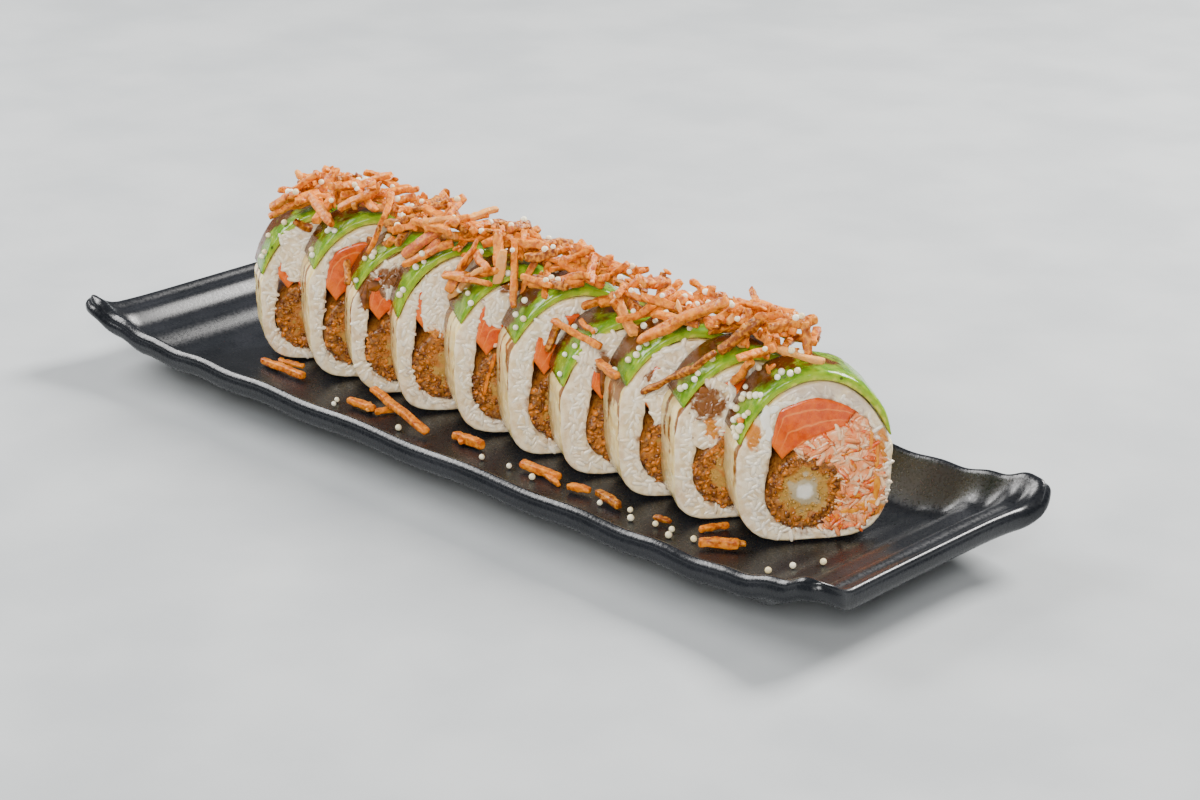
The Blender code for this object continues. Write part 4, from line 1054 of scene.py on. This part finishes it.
# A ball one unit in radius; rough makes it a lump
def ballTemplate(name, rough, seed, detail=2):
    ball = bmesh.new()
    bmesh.ops.create_icosphere(ball, subdivisions=detail, radius=1.0)
    for v in ball.verts:
        v.co *= 1 + rough * noise.noise(v.co * 1.7 + Vector((seed, 0, 0)))
        v.co.x, v.co.z = v.co.x * (1 + rough / 2), v.co.z * (1 - rough / 2)
    mesh = bpy.data.meshes.new(name)
    ball.to_mesh(mesh)
    ball.free()
    made = bpy.data.objects.new(name, mesh)
    bpy.context.scene.collection.objects.link(made)
    return made


grainTemplate = ovalTemplate("grainTemplate", 5.4, 2.3, 1.9)
shredTemplate = ovalTemplate("shredTemplate", 6.2, 1.45, 0.75, sides=5, rings=4, power=4.0)
stick = stickTemplate()
ball = ballTemplate("ballTemplate", 0.0, 0)
lump = ballTemplate("lumpTemplate", 0.9, 3, detail=1)


# Thin smears of rice over the filling, where the knife drew it across; their faces join the grained surface
def makeRiceCover():
    points, faces, grids, tints = [], [], [], []
    turns = np.linspace(0, 2 * np.pi, cover["around"], endpoint=False)
    shares = np.sin(np.linspace(0.02, 1, cover["rings"]) * np.pi / 2)
    for number, across, up, halfWidth, halfHeight in cover["smears"]:
        place, start = slices[number - 1], sum(len(p) for p in points)
        ragged = 1 + cover["ragged"] * lumps(onCircle(turns, across), 0.5)
        local = np.stack([np.stack([np.full(len(turns), cover["thickness"] * (1 - s ** 4)) + cover["lift"],
                                    across + np.cos(turns) * halfWidth * s * ragged,
                                    up + np.sin(turns) * halfHeight * s * ragged], -1) for s in shares])
        local = np.concatenate([local, local[-1:] - [cover["below"], 0, 0]])
        world = toWorld(place, local)
        points.append(world.reshape(-1, 3))
        faces += ringFaces(len(local), len(turns), closed=False, start=start)
        last = start + (len(local) - 1) * len(turns)
        faces += [tuple(range(start, start + len(turns))), tuple(range(last, last + len(turns)))]
        tint = tintOf(place, local, np.full(local.shape[:2], 99.0), 0)
        tints.append(tint.reshape(-1, 3))
        grids.append((world[:-1], True, False))
        grainTints.append(tint[:-1].reshape(-1, 3))
    piece = addPiece("riceSmears", np.vstack(points), faces, [riceFinish], tint=np.vstack(tints))
    finishPiece(piece, "rice")
    return grids


cover = {
    "around": 48, "rings": 7, "thickness": 0.35, "lift": 0.45, "below": 1.6, "ragged": 0.3,
    "smears": (  # slice, across, up, half width, half height
        (1, -9.5, 12, 6.5, 9), (3, -6.5, 12, 7, 7), (4, -8, 9, 6.5, 10.5), (7, -9, 14.5, 8, 6),
        (8, -9.5, 7, 5, 8.5), (9, -10.5, 9.5, 6.5, 8.5), (8, -6, 18, 6, 4), (9, -14, 2, 4, 5),
        (5, -8, 14, 5, 4.5), (6, -9, 14.5, 6, 4.5),
    ),
}
grainTints = [tint.reshape(-1, 3) for _, tint in riceFaces]
grainGrids = [(grid, True, False) for grid, _ in riceFaces] + makeRiceCover()
grow("riceGrains", surfaceOf("riceSurface", grainGrids, tint=np.vstack(grainTints)), scatterTree, "rice",
     Template=grainTemplate, Material=grainFinish, Spacing=1.3 * mm, Seed=4, Smallest=0.6,
     Largest=0.85, Sink=-0.40 * mm, Tilt=0.10, Relief=0.25 * mm, Relief_scale=500.0)
grow("crabShredded", surfaceOf("crabSurface", bothFaces(crabBars, slice(None))), scatterTree, "crab",
     Template=shredTemplate, Material=crabFinish, Spacing=1.15 * mm, Seed=5, Smallest=0.35, Largest=1.2,
     Sink=0.05 * mm, Tilt=0.45, Bend=2.6 * mm, Bend_scale=300.0, Relief=0.5 * mm, Relief_scale=900.0)
crustBands = bothFaces(prawnBars[:-1], slice(10, None)) + bothFaces(prawnBars[-1:], slice(13, None))
grow("prawnCrumbs", surfaceOf("prawnSurface", crustBands), scatterTree, "prawn",
     Template=lump, Material=crustFinish, Spacing=0.85 * mm, Seed=6, Smallest=0.3 * mm,
     Largest=1.2 * mm, Sink=0.1 * mm, Tilt=1.5, Relief=0.6 * mm, Relief_scale=900.0)
batterRings = np.hstack([np.tile(bar[2][:, 6:15].ravel(), 2) for bar in prawnBars])
grow("prawnBatter", surfaceOf("batterSurface", bothFaces(prawnBars, slice(6, 15)), ring=batterRings),
     scatterTree, "prawn", Template=lump, Material=prawnFinish, Spacing=0.9 * mm, Seed=8, Smallest=0.25 * mm,
     Largest=0.75 * mm, Tilt=1.5, Relief=0.4 * mm, Relief_scale=900.0)
print("grains, shreds and crumbs made")


# Heap of crisps, dropped one by one onto a map of heights with the same draws as the solid
heap = {
    "seed": 124, "start": -113, "end": 110, "middle": 0.5,
    "bedHalfWidth": 12, "bedThickness": 1.2, "bedEdge": 1.0,
    "bedLumps": 0.5, "lumpLength": 5.3, "lumpWidth": 4.1, "lumpSkew": 11, "taperLength": 9,
    "mapStart": (-130, -32), "mapShape": (500, 128), "cell": 0.5, "mapStep": 4, "mapReach": 4,
    "clearance": 0.45, "count": 60, "tries": 3,
    "length": (8, 25, 14), "size": (2.2, 3.3), "spread": 9, "reachY": (-17, 15), "steepest": 0.45,
    "sink": 2.2, "bend": 0.09, "corner": 1.45, "spots": 9, "margin": 6, "pearls": 14,
    "extraSeed": 9, "extraCount": 105, "extraTries": 5, "extraLength": (7, 25, 14), "extraSize": (1.9, 3.0),
    "extraSink": 2.2, "extraSlant": 0.5, "slimmer": 0.88, "lowest": 40,
    "crumbs": 170, "crumbSize": (0.8, 2.2), "crumbSpread": 7.5, "crumbReach": 17, "crumbSink": 0.9,
    "placedTones": {12: 0.98, 11: 0.98, 6: 0.86}, "leaningTones": {4: 0.98, 5: 0.93},  # of single crisps
}
placedCrisps = (
    ((62, -14, 43), (89, -7, 60)), ((88, -9, 52), (97, -1, 62)), ((99, -1, 63), (117, 2, 61)),
    ((42, -4, 62), (57, -11, 56)), ((72, 5, 65), (71, 7, 72)), ((55, 1, 65), (52, 6, 71)),
    ((-9, -3, 66), (-4, -8, 57)), ((-2, -3, 67), (9, -14, 51)), ((-47, 8, 73), (-31, 5, 66)),
    ((-60, -4, 63), (-57, -14, 55)), ((-21, -13, 49), (-18, -4, 62)), ((-77, -5, 66), (-68, 1, 63)),
    ((-43, -12, 55), (-31, -6, 65)), ((-107, -6, 62), (-96, 5, 66)), ((-86, -4, 65), (-78, 9, 68)),
    ((16, -1, 67), (31, 2, 62)), ((87, 5, 64), (106, 0, 62)),
)


def mapAxes():
    columns, rows = (heap["mapStart"][k] + heap["cell"] * np.arange(heap["mapShape"][k]) for k in (0, 1))
    return np.meshgrid(columns, rows, indexing="ij")


def rollHeights():
    xs, ys = mapAxes()
    heights = np.zeros(heap["mapShape"])
    for place in slices:
        c, s = math.cos(place["turn"]), math.sin(place["turn"])
        along = (xs - place["front"][0]) * c - (ys - place["front"][1]) * s
        across = (xs - place["front"][0]) * s + (ys - place["front"][1]) * c
        share = np.clip(np.abs(across) / roll["halfWidth"], 0, 1)
        top = dish["floor"] + roll["restGap"] + place["height"] / 2 * (1 + np.sqrt(1 - share ** 2))
        inside = (along <= 1) & (along >= -place["thickness"] - 1) & (share < 1)
        heights = np.where(inside, np.maximum(heights, top), heights)
        for centre in toWorld(place, place["pearls"]):
            near = np.hypot(xs - centre[0], ys - centre[1]) < roll["pearlRadius"]
            heights = np.where(near, np.maximum(heights, centre[2] + roll["pearlRadius"]), heights)
    return heights


def highest(heights, x, y, reach):
    i, j = (x - heap["mapStart"][0]) / heap["cell"], (y - heap["mapStart"][1]) / heap["cell"]
    r = reach / heap["cell"]
    lowI, highI = max(0, math.floor(i - r)), min(heap["mapShape"][0], math.ceil(i + r) + 1)
    lowJ, highJ = max(0, math.floor(j - r)), min(heap["mapShape"][1], math.ceil(j + r) + 1)
    return heights[lowI:highI, lowJ:highJ].max()


def overRoll(bare, x, y, half):
    reach = half * heap["corner"]
    return highest(bare, x, y, reach) + reach + heap["clearance"]


def within(value, low, high):
    return min(high, max(low, value))


# Middle height and slope of a rod that rests on these heights
def restOn(distances, heights):
    best, slope = -1.0, 0.0
    for sLow, hLow in zip(distances, heights):
        for sHigh, hHigh in zip(distances, heights):
            if sLow >= 0 or sHigh <= 0:
                continue
            middle = (hLow * sHigh - hHigh * sLow) / (sHigh - sLow)
            if middle > best:
                best, slope = middle, (hHigh - hLow) / (sHigh - sLow)
    slope = within(slope, -heap["steepest"], heap["steepest"])
    return max(h - slope * s for s, h in zip(distances, heights)), slope


def markMap(heights, start, end, half):
    steps = max(2, int((end - start).length / (heap["cell"] * 0.8)))
    across = Vector((start.y - end.y, end.x - start.x)).normalized()
    for k in range(steps + 1):
        place = start.lerp(end, k / steps)
        for side in (-1, -0.5, 0, 0.5, 1):
            i = round((place.x + across.x * side * half - heap["mapStart"][0]) / heap["cell"])
            j = round((place.y + across.y * side * half - heap["mapStart"][1]) / heap["cell"])
            if 0 <= i < heap["mapShape"][0] and 0 <= j < heap["mapShape"][1]:
                heights[i, j] = max(heights[i, j], place.z + half)


def crispShape(rng, length, sizes):
    return {"length": length, "size": rng.uniform(*sizes), "roll": rng.uniform(0, math.pi / 2),
            "bend": rng.uniform(-heap["bend"], heap["bend"])}


def placeCrisps(bare, piled, rng):
    made = []
    for ends in placedCrisps:
        start, end = (Vector(p) for p in ends)
        crisp = crispShape(rng, (end - start).length, heap["size"])
        half = crisp["size"] / 2
        spots = [start.lerp(end, share) for share in np.linspace(0, 1, heap["spots"])]
        lift = max(0.0, max(overRoll(bare, p.x, p.y, half) - p.z for p in spots))
        crisp["start"], crisp["end"] = start + Vector((0, 0, lift)), end + Vector((0, 0, lift))
        markMap(piled, crisp["start"], crisp["end"], half)
        made.append(crisp)
    return made


def settle(bare, piled, length, half, rng, sink, slant):
    x = rng.uniform(heap["start"] + heap["margin"], heap["end"] - heap["margin"])
    y = within(rng.gauss(heap["middle"], heap["spread"]), *heap["reachY"])
    yaw = rng.uniform(0, math.pi)
    heading = Vector((math.cos(yaw), math.sin(yaw), 0))
    shares = np.linspace(-0.5, 0.5, heap["spots"])
    heights = []
    for share in shares:
        spot = Vector((x, y, 0)) + heading * (share * length)
        onPile = highest(piled, spot.x, spot.y, half) + half - sink
        heights.append(max(overRoll(bare, spot.x, spot.y, half), onPile))
    middle, slope = restOn(shares * length, heights)
    slope += rng.uniform(-slant, slant) if slant else 0
    run = heading * (length / 2 / math.sqrt(1 + slope ** 2))
    step = Vector((run.x, run.y, run.length * slope))
    centre = Vector((x, y, middle))
    return middle + abs(step.z) - highest(bare, x, y, half), centre - step, centre + step


def dropCrisps(bare, piled, rng, count, lengthRange, sizes, tries, sink, slant=0):
    lengths = sorted((rng.triangular(*lengthRange) for _ in range(count)), reverse=True)
    made = []
    for length in lengths:
        crisp = crispShape(rng, length, sizes)
        half = crisp["size"] / 2
        found = [settle(bare, piled, length, half, rng, sink, slant) for _ in range(tries)]
        _, crisp["start"], crisp["end"] = min(found, key=lambda t: t[0])
        markMap(piled, crisp["start"], crisp["end"], half)
        made.append(crisp)
    return made


def bedThickness(x, y):
    across = min(1.0, abs(y - heap["middle"]) / heap["bedHalfWidth"])
    along = ease((x - heap["start"]) / heap["taperLength"]) * ease((heap["end"] - x) / heap["taperLength"])
    skewed = y / heap["lumpWidth"] + x / heap["lumpSkew"]
    bumps = heap["bedLumps"] * math.sin(x / heap["lumpLength"]) * math.cos(skewed)
    return heap["bedEdge"] + (heap["bedThickness"] + bumps) * (1 - across ** 2) * along


def bedHeights(bare):
    xs, ys = mapAxes()
    piled = np.zeros(heap["mapShape"])
    step = heap["mapStep"]
    for i in range(0, heap["mapShape"][0], step):
        for j in range(0, heap["mapShape"][1], step):
            x, y = xs[i, j], ys[i, j]
            if heap["start"] <= x <= heap["end"] and abs(y - heap["middle"]) <= heap["bedHalfWidth"]:
                under = highest(bare, x, y, heap["mapReach"]) + heap["clearance"]
                piled[i:i + step, j:j + step] = under + bedThickness(x, y)
    return piled


# The crisps as points with their turn, size and tone, which a few have of their own
def crispCloud(name, crisps, rng, ownTones=None):
    spots, turns, sizes, tones = [], [], [], []
    for k, crisp in enumerate(crisps):
        axis = crisp["end"] - crisp["start"]
        turned = axis.to_track_quat("X", "Z").to_matrix() @ Matrix.Rotation(crisp["roll"], 3, "X")
        spots.append((crisp["start"] + crisp["end"]) / 2)
        turns.append(tuple(turned.to_euler("XYZ")))
        thick = crisp["size"] * heap["slimmer"] * mm
        sizes.append((axis.length * mm, thick, thick * rng.uniform(0.75, 1.0)))
        tones.append(ownTones.get(k, rng.random() * 0.94) if ownTones else rng.random())
    return pointCloud(name, spots, turns, sizes, tones)


def growSticks(name, points, nodes, bend, bendScale, relief, reliefScale):
    return grow(name, points, placeTree, "crisp", nodes, Template=stick, Material=crispFinish, Level=1,
                Bend=bend * mm, Bend_scale=bendScale, Relief=relief * mm, Relief_scale=reliefScale)


def makeHeap():
    rng, extra = random.Random(heap["seed"]), random.Random(heap["extraSeed"])
    bare = rollHeights()
    piled = bedHeights(bare)
    crisps = placeCrisps(bare, piled, rng)
    crisps += dropCrisps(bare, piled, rng, heap["count"], heap["length"], heap["size"],
                         heap["tries"], heap["sink"])
    spots = []
    for _ in range(heap["pearls"]):
        x = rng.uniform(heap["start"], heap["end"])
        y = heap["middle"] + rng.uniform(-heap["bedHalfWidth"], heap["bedHalfWidth"])
        z = highest(piled, x, y, roll["pearlRadius"] / 2) + roll["pearlRadius"] * roll["pearlStanding"]
        spots.append((x, y, z))
    crisps += dropCrisps(bare, piled, extra, heap["extraCount"], heap["extraLength"], heap["extraSize"],
                         heap["extraTries"], heap["extraSink"], heap["extraSlant"])
    points = crispCloud("crispPoints", crisps, extra, heap["placedTones"])
    shell = growSticks("crispHeap", points, ["crisp_heap"], 3.6, 85.0, 1.2, 560.0).data
    crumbs = []
    for _ in range(heap["crumbs"]):
        x = extra.uniform(heap["start"], heap["end"])
        y = within(extra.gauss(heap["middle"], heap["crumbSpread"]), -heap["crumbReach"], heap["crumbReach"])
        z = max(highest(piled, x, y, 0.5), highest(bare, x, y, 0.5)) - heap["crumbSink"]
        if z > heap["lowest"]:
            crumbs.append((x, y, z))
    turns = [[extra.uniform(0, math.pi) for _ in range(3)] for _ in crumbs]
    sizes = [[extra.uniform(*heap["crumbSize"]) * mm for _ in range(3)] for _ in crumbs]
    points = pointCloud("crumbPoints", crumbs, turns, sizes, [extra.random() for _ in crumbs])
    grow("crispCrumbs", points, placeTree, "crisp", Template=lump, Material=crispFinish, Level=1,
         Relief=0.8 * mm, Relief_scale=700.0)
    leaning = []
    for fromSlice, start, toSlice, end, size in leaningCrisps:
        ends = [Vector(toWorld(slices[n - 1], p)) for n, p in ((fromSlice, start), (toSlice, end))]
        leaning.append({"start": ends[0], "end": ends[1], "size": size, "roll": extra.uniform(0, 1.5)})
    leaning += [{"start": Vector(start), "end": Vector(end), "size": size, "roll": 0.3}
                for start, end, size in standingCrisps]
    points = crispCloud("leaningPoints", leaning, extra, heap["leaningTones"])
    growSticks("leaningCrisps", points, (), 3.0, 110.0, 1.1, 560.0)
    surface = BVHTree.FromPolygons([v.co / mm for v in shell.vertices], [p.vertices for p in shell.polygons])
    return bare, surface, spots


# Height of the heap's finished surface, or of the bare roll where no crisp lies
def onHeap(x, y):
    spot = heapShell.ray_cast(Vector((x, y, 100)), Vector((0, 0, -1)))[0]
    return max(spot.z if spot else 0.0, highest(bareMap, x, y, 0.3))


leaningCrisps = (  # slice and place (out, across, up) of each end, thickness
    (8, (2.0, -16.3, 8.3), 9, (3.0, -12.5, 26.9), 2.3), (5, (2.0, -5.7, 10.6), 5, (3.0, 2.8, 31.0), 1.9),
    (4, (2.0, -5.3, 11.2), 5, (3.0, -14.3, 29.0), 2.4), (2, (2.0, -0.8, 14.2), 3, (3.0, -8.8, 28.0), 2.5),
    (3, (2.0, -5.1, 17.9), 4, (3.0, -9.0, 30.0), 2.8), (5, (3.0, -9.7, 24.0), 5, (3.0, -7.1, 35.0), 3.2),
    (7, (3.0, 0.0, 21.3), 7, (3.0, -7.5, 31.8), 2.4), (9, (3.0, -6.5, 18.2), 10, (-6.0, -18.1, 27.2), 2.9),
    (6, (2.0, -11.1, 8.2), 6, (2.0, -6.8, 16.7), 2.3), (1, (2.0, -11.3, 23.2), 1, (2.0, -4.8, 20.6), 2.4),
    (5, (1.4, -13.7, -13.0), 5, (1.4, -9.8, 1.3), 1.5),
)
standingCrisps = (  # both ends, thickness
    ((20.5, 2, 66), (20, 3, 73.5), 2.8), ((-43, -3, 72), (-22, 0, 67.5), 3.2),
    ((72, -2, 61.5), (71, 0, 71), 2.4), ((91, -1, 60.5), (90, 1, 71), 2.3),
    ((-79, 4, 70), (-70, 8, 75), 2.6), ((45, -2, 65), (48.5, 0, 70.5), 2.6),
    ((111, 2, 61), (108, 5, 70), 2.8), ((-24, -2, 66.5), (-35, 1, 73), 2.8),
    ((-104, -6, 65), (-96, -2, 72), 2.6), ((33, 3, 66), (39, 5, 71), 2.5),
    ((58, -5, 62), (64, 1, 68.5), 2.3), ((-58, -6, 66), (-63, 2, 72), 2.6),
    ((3, -4, 66), (-3, 2, 72.5), 2.5), ((101, -4, 60), (97, 3, 67), 2.3), ((80, 6, 63), (85, 3, 69), 2.5),
)
bareMap, heapShell, heapPearls = makeHeap()
print("heap made")


# Crisps that fell onto the dish, the larger ones first as in the solids
fallen = {"size": 3.0, "seed": 21, "thin": 1.9}
fallenCrisps = (
    ((-106, -20, 1.9), (-84, -20.5, 1.9)), ((-57, -24, 1.9), (-46, -23.5, 1.9)),
    ((-49, -21.5, 8.0), (-19, -25.0, 1.9)), ((-12, -20, 1.9), (1, -19.5, 1.9)),
    ((20, -21.5, 1.9), (35, -20, 1.9)), ((42, -23.5, 1.9), (49, -21.5, 1.9)),
    ((51, -20.5, 1.9), (63, -23.5, 1.9)), ((97, -26, 1.9), (106, -19.5, 1.9)),
)
smallFallen = (
    ((75, -21.6, 1.3), (81, -20.7, 1.3)), ((90, -17.8, 1.3), (94, -10.2, 1.3)),
    ((-45, -24, 1.3), (-42, -17, 1.3)), ((-104, -14.5, 1.3), (-92, -13.6, 1.3)),
    ((98, -23.5, 1.4), (107, -17.5, 1.6)), ((24, -19.0, 1.3), (38, -23.4, 1.3)),
    ((-14, -17.5, 1.3), (-6, -21.8, 1.3)), ((-52, -20, 1.3), (-47, -25, 1.3)),
)


def makeFallen():
    made = []
    for number, ends in enumerate(fallenCrisps, 1):
        start, end = (Vector(p) + Vector((0, 0, dish["floor"])) for p in ends)
        crisp = crispShape(random.Random(number), (end - start).length, heap["size"])
        made.append(crisp | {"start": start, "end": end, "size": fallen["size"], "roll": 0})
    for ends in smallFallen:
        start, end = (Vector(p) + Vector((0, 0, dish["floor"])) for p in ends)
        made.append({"start": start, "end": end, "size": fallen["thin"], "roll": 0.4})
    points = crispCloud("fallenPoints", made, random.Random(fallen["seed"]))
    nodes = [f"fallen_crisp_{n}" for n in range(1, len(fallenCrisps) + 1)]
    growSticks("fallenCrisps", points, nodes, 1.6, 90.0, 1.1, 600.0)


makeFallen()

# Rice pearls: on the avocado, in the heap and loose on the dish
pearls = {
    "seed": 31, "size": (0.8, 1.1), "onSlices": (2, 4, 6, 3, 3, 4, 5, 8, 6, 20),
    "heapMore": 95, "heapSpread": (-3, 8), "heapReach": (-17, 14), "above": 0.4, "aboveDish": 1.05,
    "onDish": ((56, -24.5), (70, -26), (78, -24), (86, -27), (84, -23.5), (17, -24), (-62, -25), (-60, -28),
               (28, -25), (66, -22), (93, -24), (-30, -27), (6, -25), (125, -18), (122, -25), (131, -12)),
}


def makePearls():
    rng = random.Random(pearls["seed"])
    spots = [(x, y, onHeap(x, y) + pearls["above"]) for x, y, _ in heapPearls]
    for place in slices:
        local = list(place["pearls"])
        for _ in range(pearls["onSlices"][place["number"] - 1]):
            step = place["last"] - 0.3 - abs(rng.gauss(0, 2.2))
            depth = -abs(rng.gauss(0.8, 3.2)) if rng.random() < 0.8 else -place["thickness"] * rng.random()
            spot = inset(outlinePoint(place, step), -rng.uniform(0.6, 0.9))
            local.append((depth, spot[0], spot[1]))
        spots += [tuple(p) for p in toWorld(place, local)]
    for _ in range(pearls["heapMore"]):
        x = rng.uniform(heap["start"], heap["end"] + 4)
        y = within(rng.gauss(*pearls["heapSpread"]), *pearls["heapReach"])
        if onHeap(x, y) > heap["lowest"]:
            spots.append((x, y, onHeap(x, y) + pearls["above"]))
    for x, y in pearls["onDish"]:
        spots.append((x, y, float(dishTop(np.array(x), np.array(y))) + pearls["aboveDish"]))
    sizes = [[rng.uniform(*pearls["size"]) * mm] * 3 for _ in spots]
    tones = [rng.random() for _ in spots]
    points = pointCloud("pearlPoints", spots, np.zeros((len(spots), 3)), sizes, tones)
    grow("ricePearls", points, placeTree, "crisp", Template=ball, Material=pearlFinish,
         Relief=0.12 * mm, Relief_scale=900.0)


makePearls()
print("pearls made")


# Thick sauce and whitish patches on the cut faces: thin domed patches with an uneven edge
patches = {
    "around": 40, "rings": 6, "lift": 0.55, "below": 2.0, "ragged": 0.55,
    "brownSauce": (  # slice, across, up, half width, half height, thickness
        (3, -17.6, 7.4, 1.4, 3.6, 0.25), (3, -14.5, 11.6, 2.8, 1.6, 0.25), (3, -9.0, 14.6, 4.6, 1.1, 0.3),
        (7, -9.6, 7.0, 1.1, 6.6, 0.4), (9, -13.0, 12.4, 4.2, 3.4, 0.12), (5, -3.0, 22.0, 4.5, 1.0, 0.3),
        (6, -12.2, -7.4, 0.7, 4.6, 0.25),
    ),
    "orangeSauce": (
        (10, 18.0, -2.0, 0.7, 4.8, 0.2), (10, 18.2, -9.6, 1.1, 4.4, 0.2),
        (10, 15.4, -15.8, 3.4, 1.5, 0.25), (10, 10.4, -17.2, 2.6, 0.9, 0.2),
        (10, 16.0, 4.6, 0.6, 2.6, 0.2), (10, 12.0, -12.6, 1.6, 0.6, 0.4), (10, 9.0, -6.5, 0.7, 1.3, 0.5),
    ),
    # Whitish thin patches on the rice of the front slice
    "creamCheese": (
        (10, -14.6, 12.6, 1.5, 3.0, 0.1), (10, -13.6, 8.2, 1.2, 2.0, 0.1), (10, -12.6, 15.4, 1.6, 1.2, 0.1),
    ),
}


def makePatches(name, finish, slotName):
    points, faces = [], []
    shares = np.sin(np.linspace(0, np.pi / 2, patches["rings"] + 1))[1:]
    turns = np.linspace(0, 2 * np.pi, patches["around"], endpoint=False)
    for n, (number, across, up, halfWidth, halfHeight, thickness) in enumerate(patches[name]):
        start = sum(len(p) for p in points)
        ragged = 1 + patches["ragged"] * lumps(onCircle(turns, n * 3.7), 0.7)
        rings = [np.column_stack([np.full(len(turns), patches["lift"] + thickness * math.sqrt(1 - s * s)),
                                  across + np.cos(turns) * halfWidth * s * ragged,
                                  up + np.sin(turns) * halfHeight * s * ragged]) for s in shares]
        rings.append(rings[-1] - [patches["below"], 0, 0])
        middle = [[patches["lift"] + thickness, across, up], [patches["lift"] - patches["below"], across, up]]
        local = np.vstack(rings + [np.array(middle)])
        points.append(toWorld(slices[number - 1], local))
        faces += ringFaces(len(rings), len(turns), closed=False, start=start)
        top, base = start + len(local) - 2, start + len(local) - 1
        last = start + (len(rings) - 1) * len(turns)
        for k in range(len(turns)):
            j = (k + 1) % len(turns)
            faces += [(top, start + j, start + k), (base, last + k, last + j)]
    finishPiece(addPiece(name, np.vstack(points), faces, [finish]), slotName)


makePatches("brownSauce", sauceFinish, "avocado")
makePatches("orangeSauce", orangeFinish, "crab")
makePatches("creamCheese", whitishFinish, "rice")
print("sauce made")


# Floor, light and camera
studio = {
    "camera": (564, -545, 330), "turn": 44.3, "tilt": 21.7, "lens": 81, "floorSize": 6000,
    "world": (0.90, 0.93, 0.97), "worldStrength": 0.20,
    "lights": (  # place, aim, width, height, watts, colour
        ((200, 850, 850), (0, 0, 20), 520, 380, 40, (1.0, 0.98, 0.95)),
        ((-850, -220, 700), (0, 0, 20), 800, 450, 22, (1.0, 0.99, 0.98)),
        ((700, -800, 600), (0, 0, 30), 400, 400, 17, (1.0, 0.99, 0.97)),
    ),
}


def makeFloor():
    made, tree, shader = newMaterial("paleFloor")
    tone = useGroup(tree, mottle, Size=60.0, Low=0.3, High=0.7, Detail=6.0)["Mask"]
    colour = mixColour(tree, tone, (0.33, 0.348, 0.36), (0.39, 0.407, 0.415))
    tree.links.new(colour, shader.inputs["Base Color"])
    shader.inputs["Roughness"].default_value = 0.75
    half = studio["floorSize"] / 2
    floor = addPiece("paleTable", [(-half, -half, 0), (half, -half, 0), (half, half, 0), (-half, half, 0)],
                     [(0, 1, 2, 3)], [made])


def aimed(place, target):
    place, target = Vector(place) * mm, Vector(target) * mm
    return Matrix.Translation(place) @ (target - place).to_track_quat("-Z", "Y").to_matrix().to_4x4()


def makeLights():
    for k, (place, target, width, height, watts, colour) in enumerate(studio["lights"]):
        light = bpy.data.lights.new(f"softLight{k}", "AREA")
        light.shape, light.size, light.size_y = "RECTANGLE", width * mm, height * mm
        light.energy, light.color = watts, colour
        made = bpy.data.objects.new(light.name, light)
        made.matrix_world = aimed(place, target)
        bpy.context.scene.collection.objects.link(made)
    world = bpy.data.worlds.new("studioAir")
    world.use_nodes = True
    world.node_tree.nodes["Background"].inputs["Color"].default_value = (*studio["world"], 1)
    world.node_tree.nodes["Background"].inputs["Strength"].default_value = studio["worldStrength"]
    bpy.context.scene.world = world


def makeCamera():
    turn, tilt = math.radians(studio["turn"]), math.radians(studio["tilt"])
    right = Vector((math.cos(turn), math.sin(turn), 0))
    ahead = Vector((-math.sin(turn) * math.cos(tilt), math.cos(turn) * math.cos(tilt), -math.sin(tilt)))
    matrix = Matrix((right, right.cross(ahead), -ahead)).transposed().to_4x4()
    matrix.translation = Vector(studio["camera"]) * mm
    lens = bpy.data.cameras.new("studioCamera")
    lens.lens, lens.sensor_width, lens.sensor_fit = studio["lens"], 36, "HORIZONTAL"
    camera = bpy.data.objects.new("studioCamera", lens)
    camera.matrix_world = matrix
    bpy.context.scene.collection.objects.link(camera)
    bpy.context.scene.camera = camera


for template in (grainTemplate, shredTemplate, stick, ball, lump):
    bpy.data.objects.remove(template)
makeFloor()
makeLights()
makeCamera()
print("scene made")
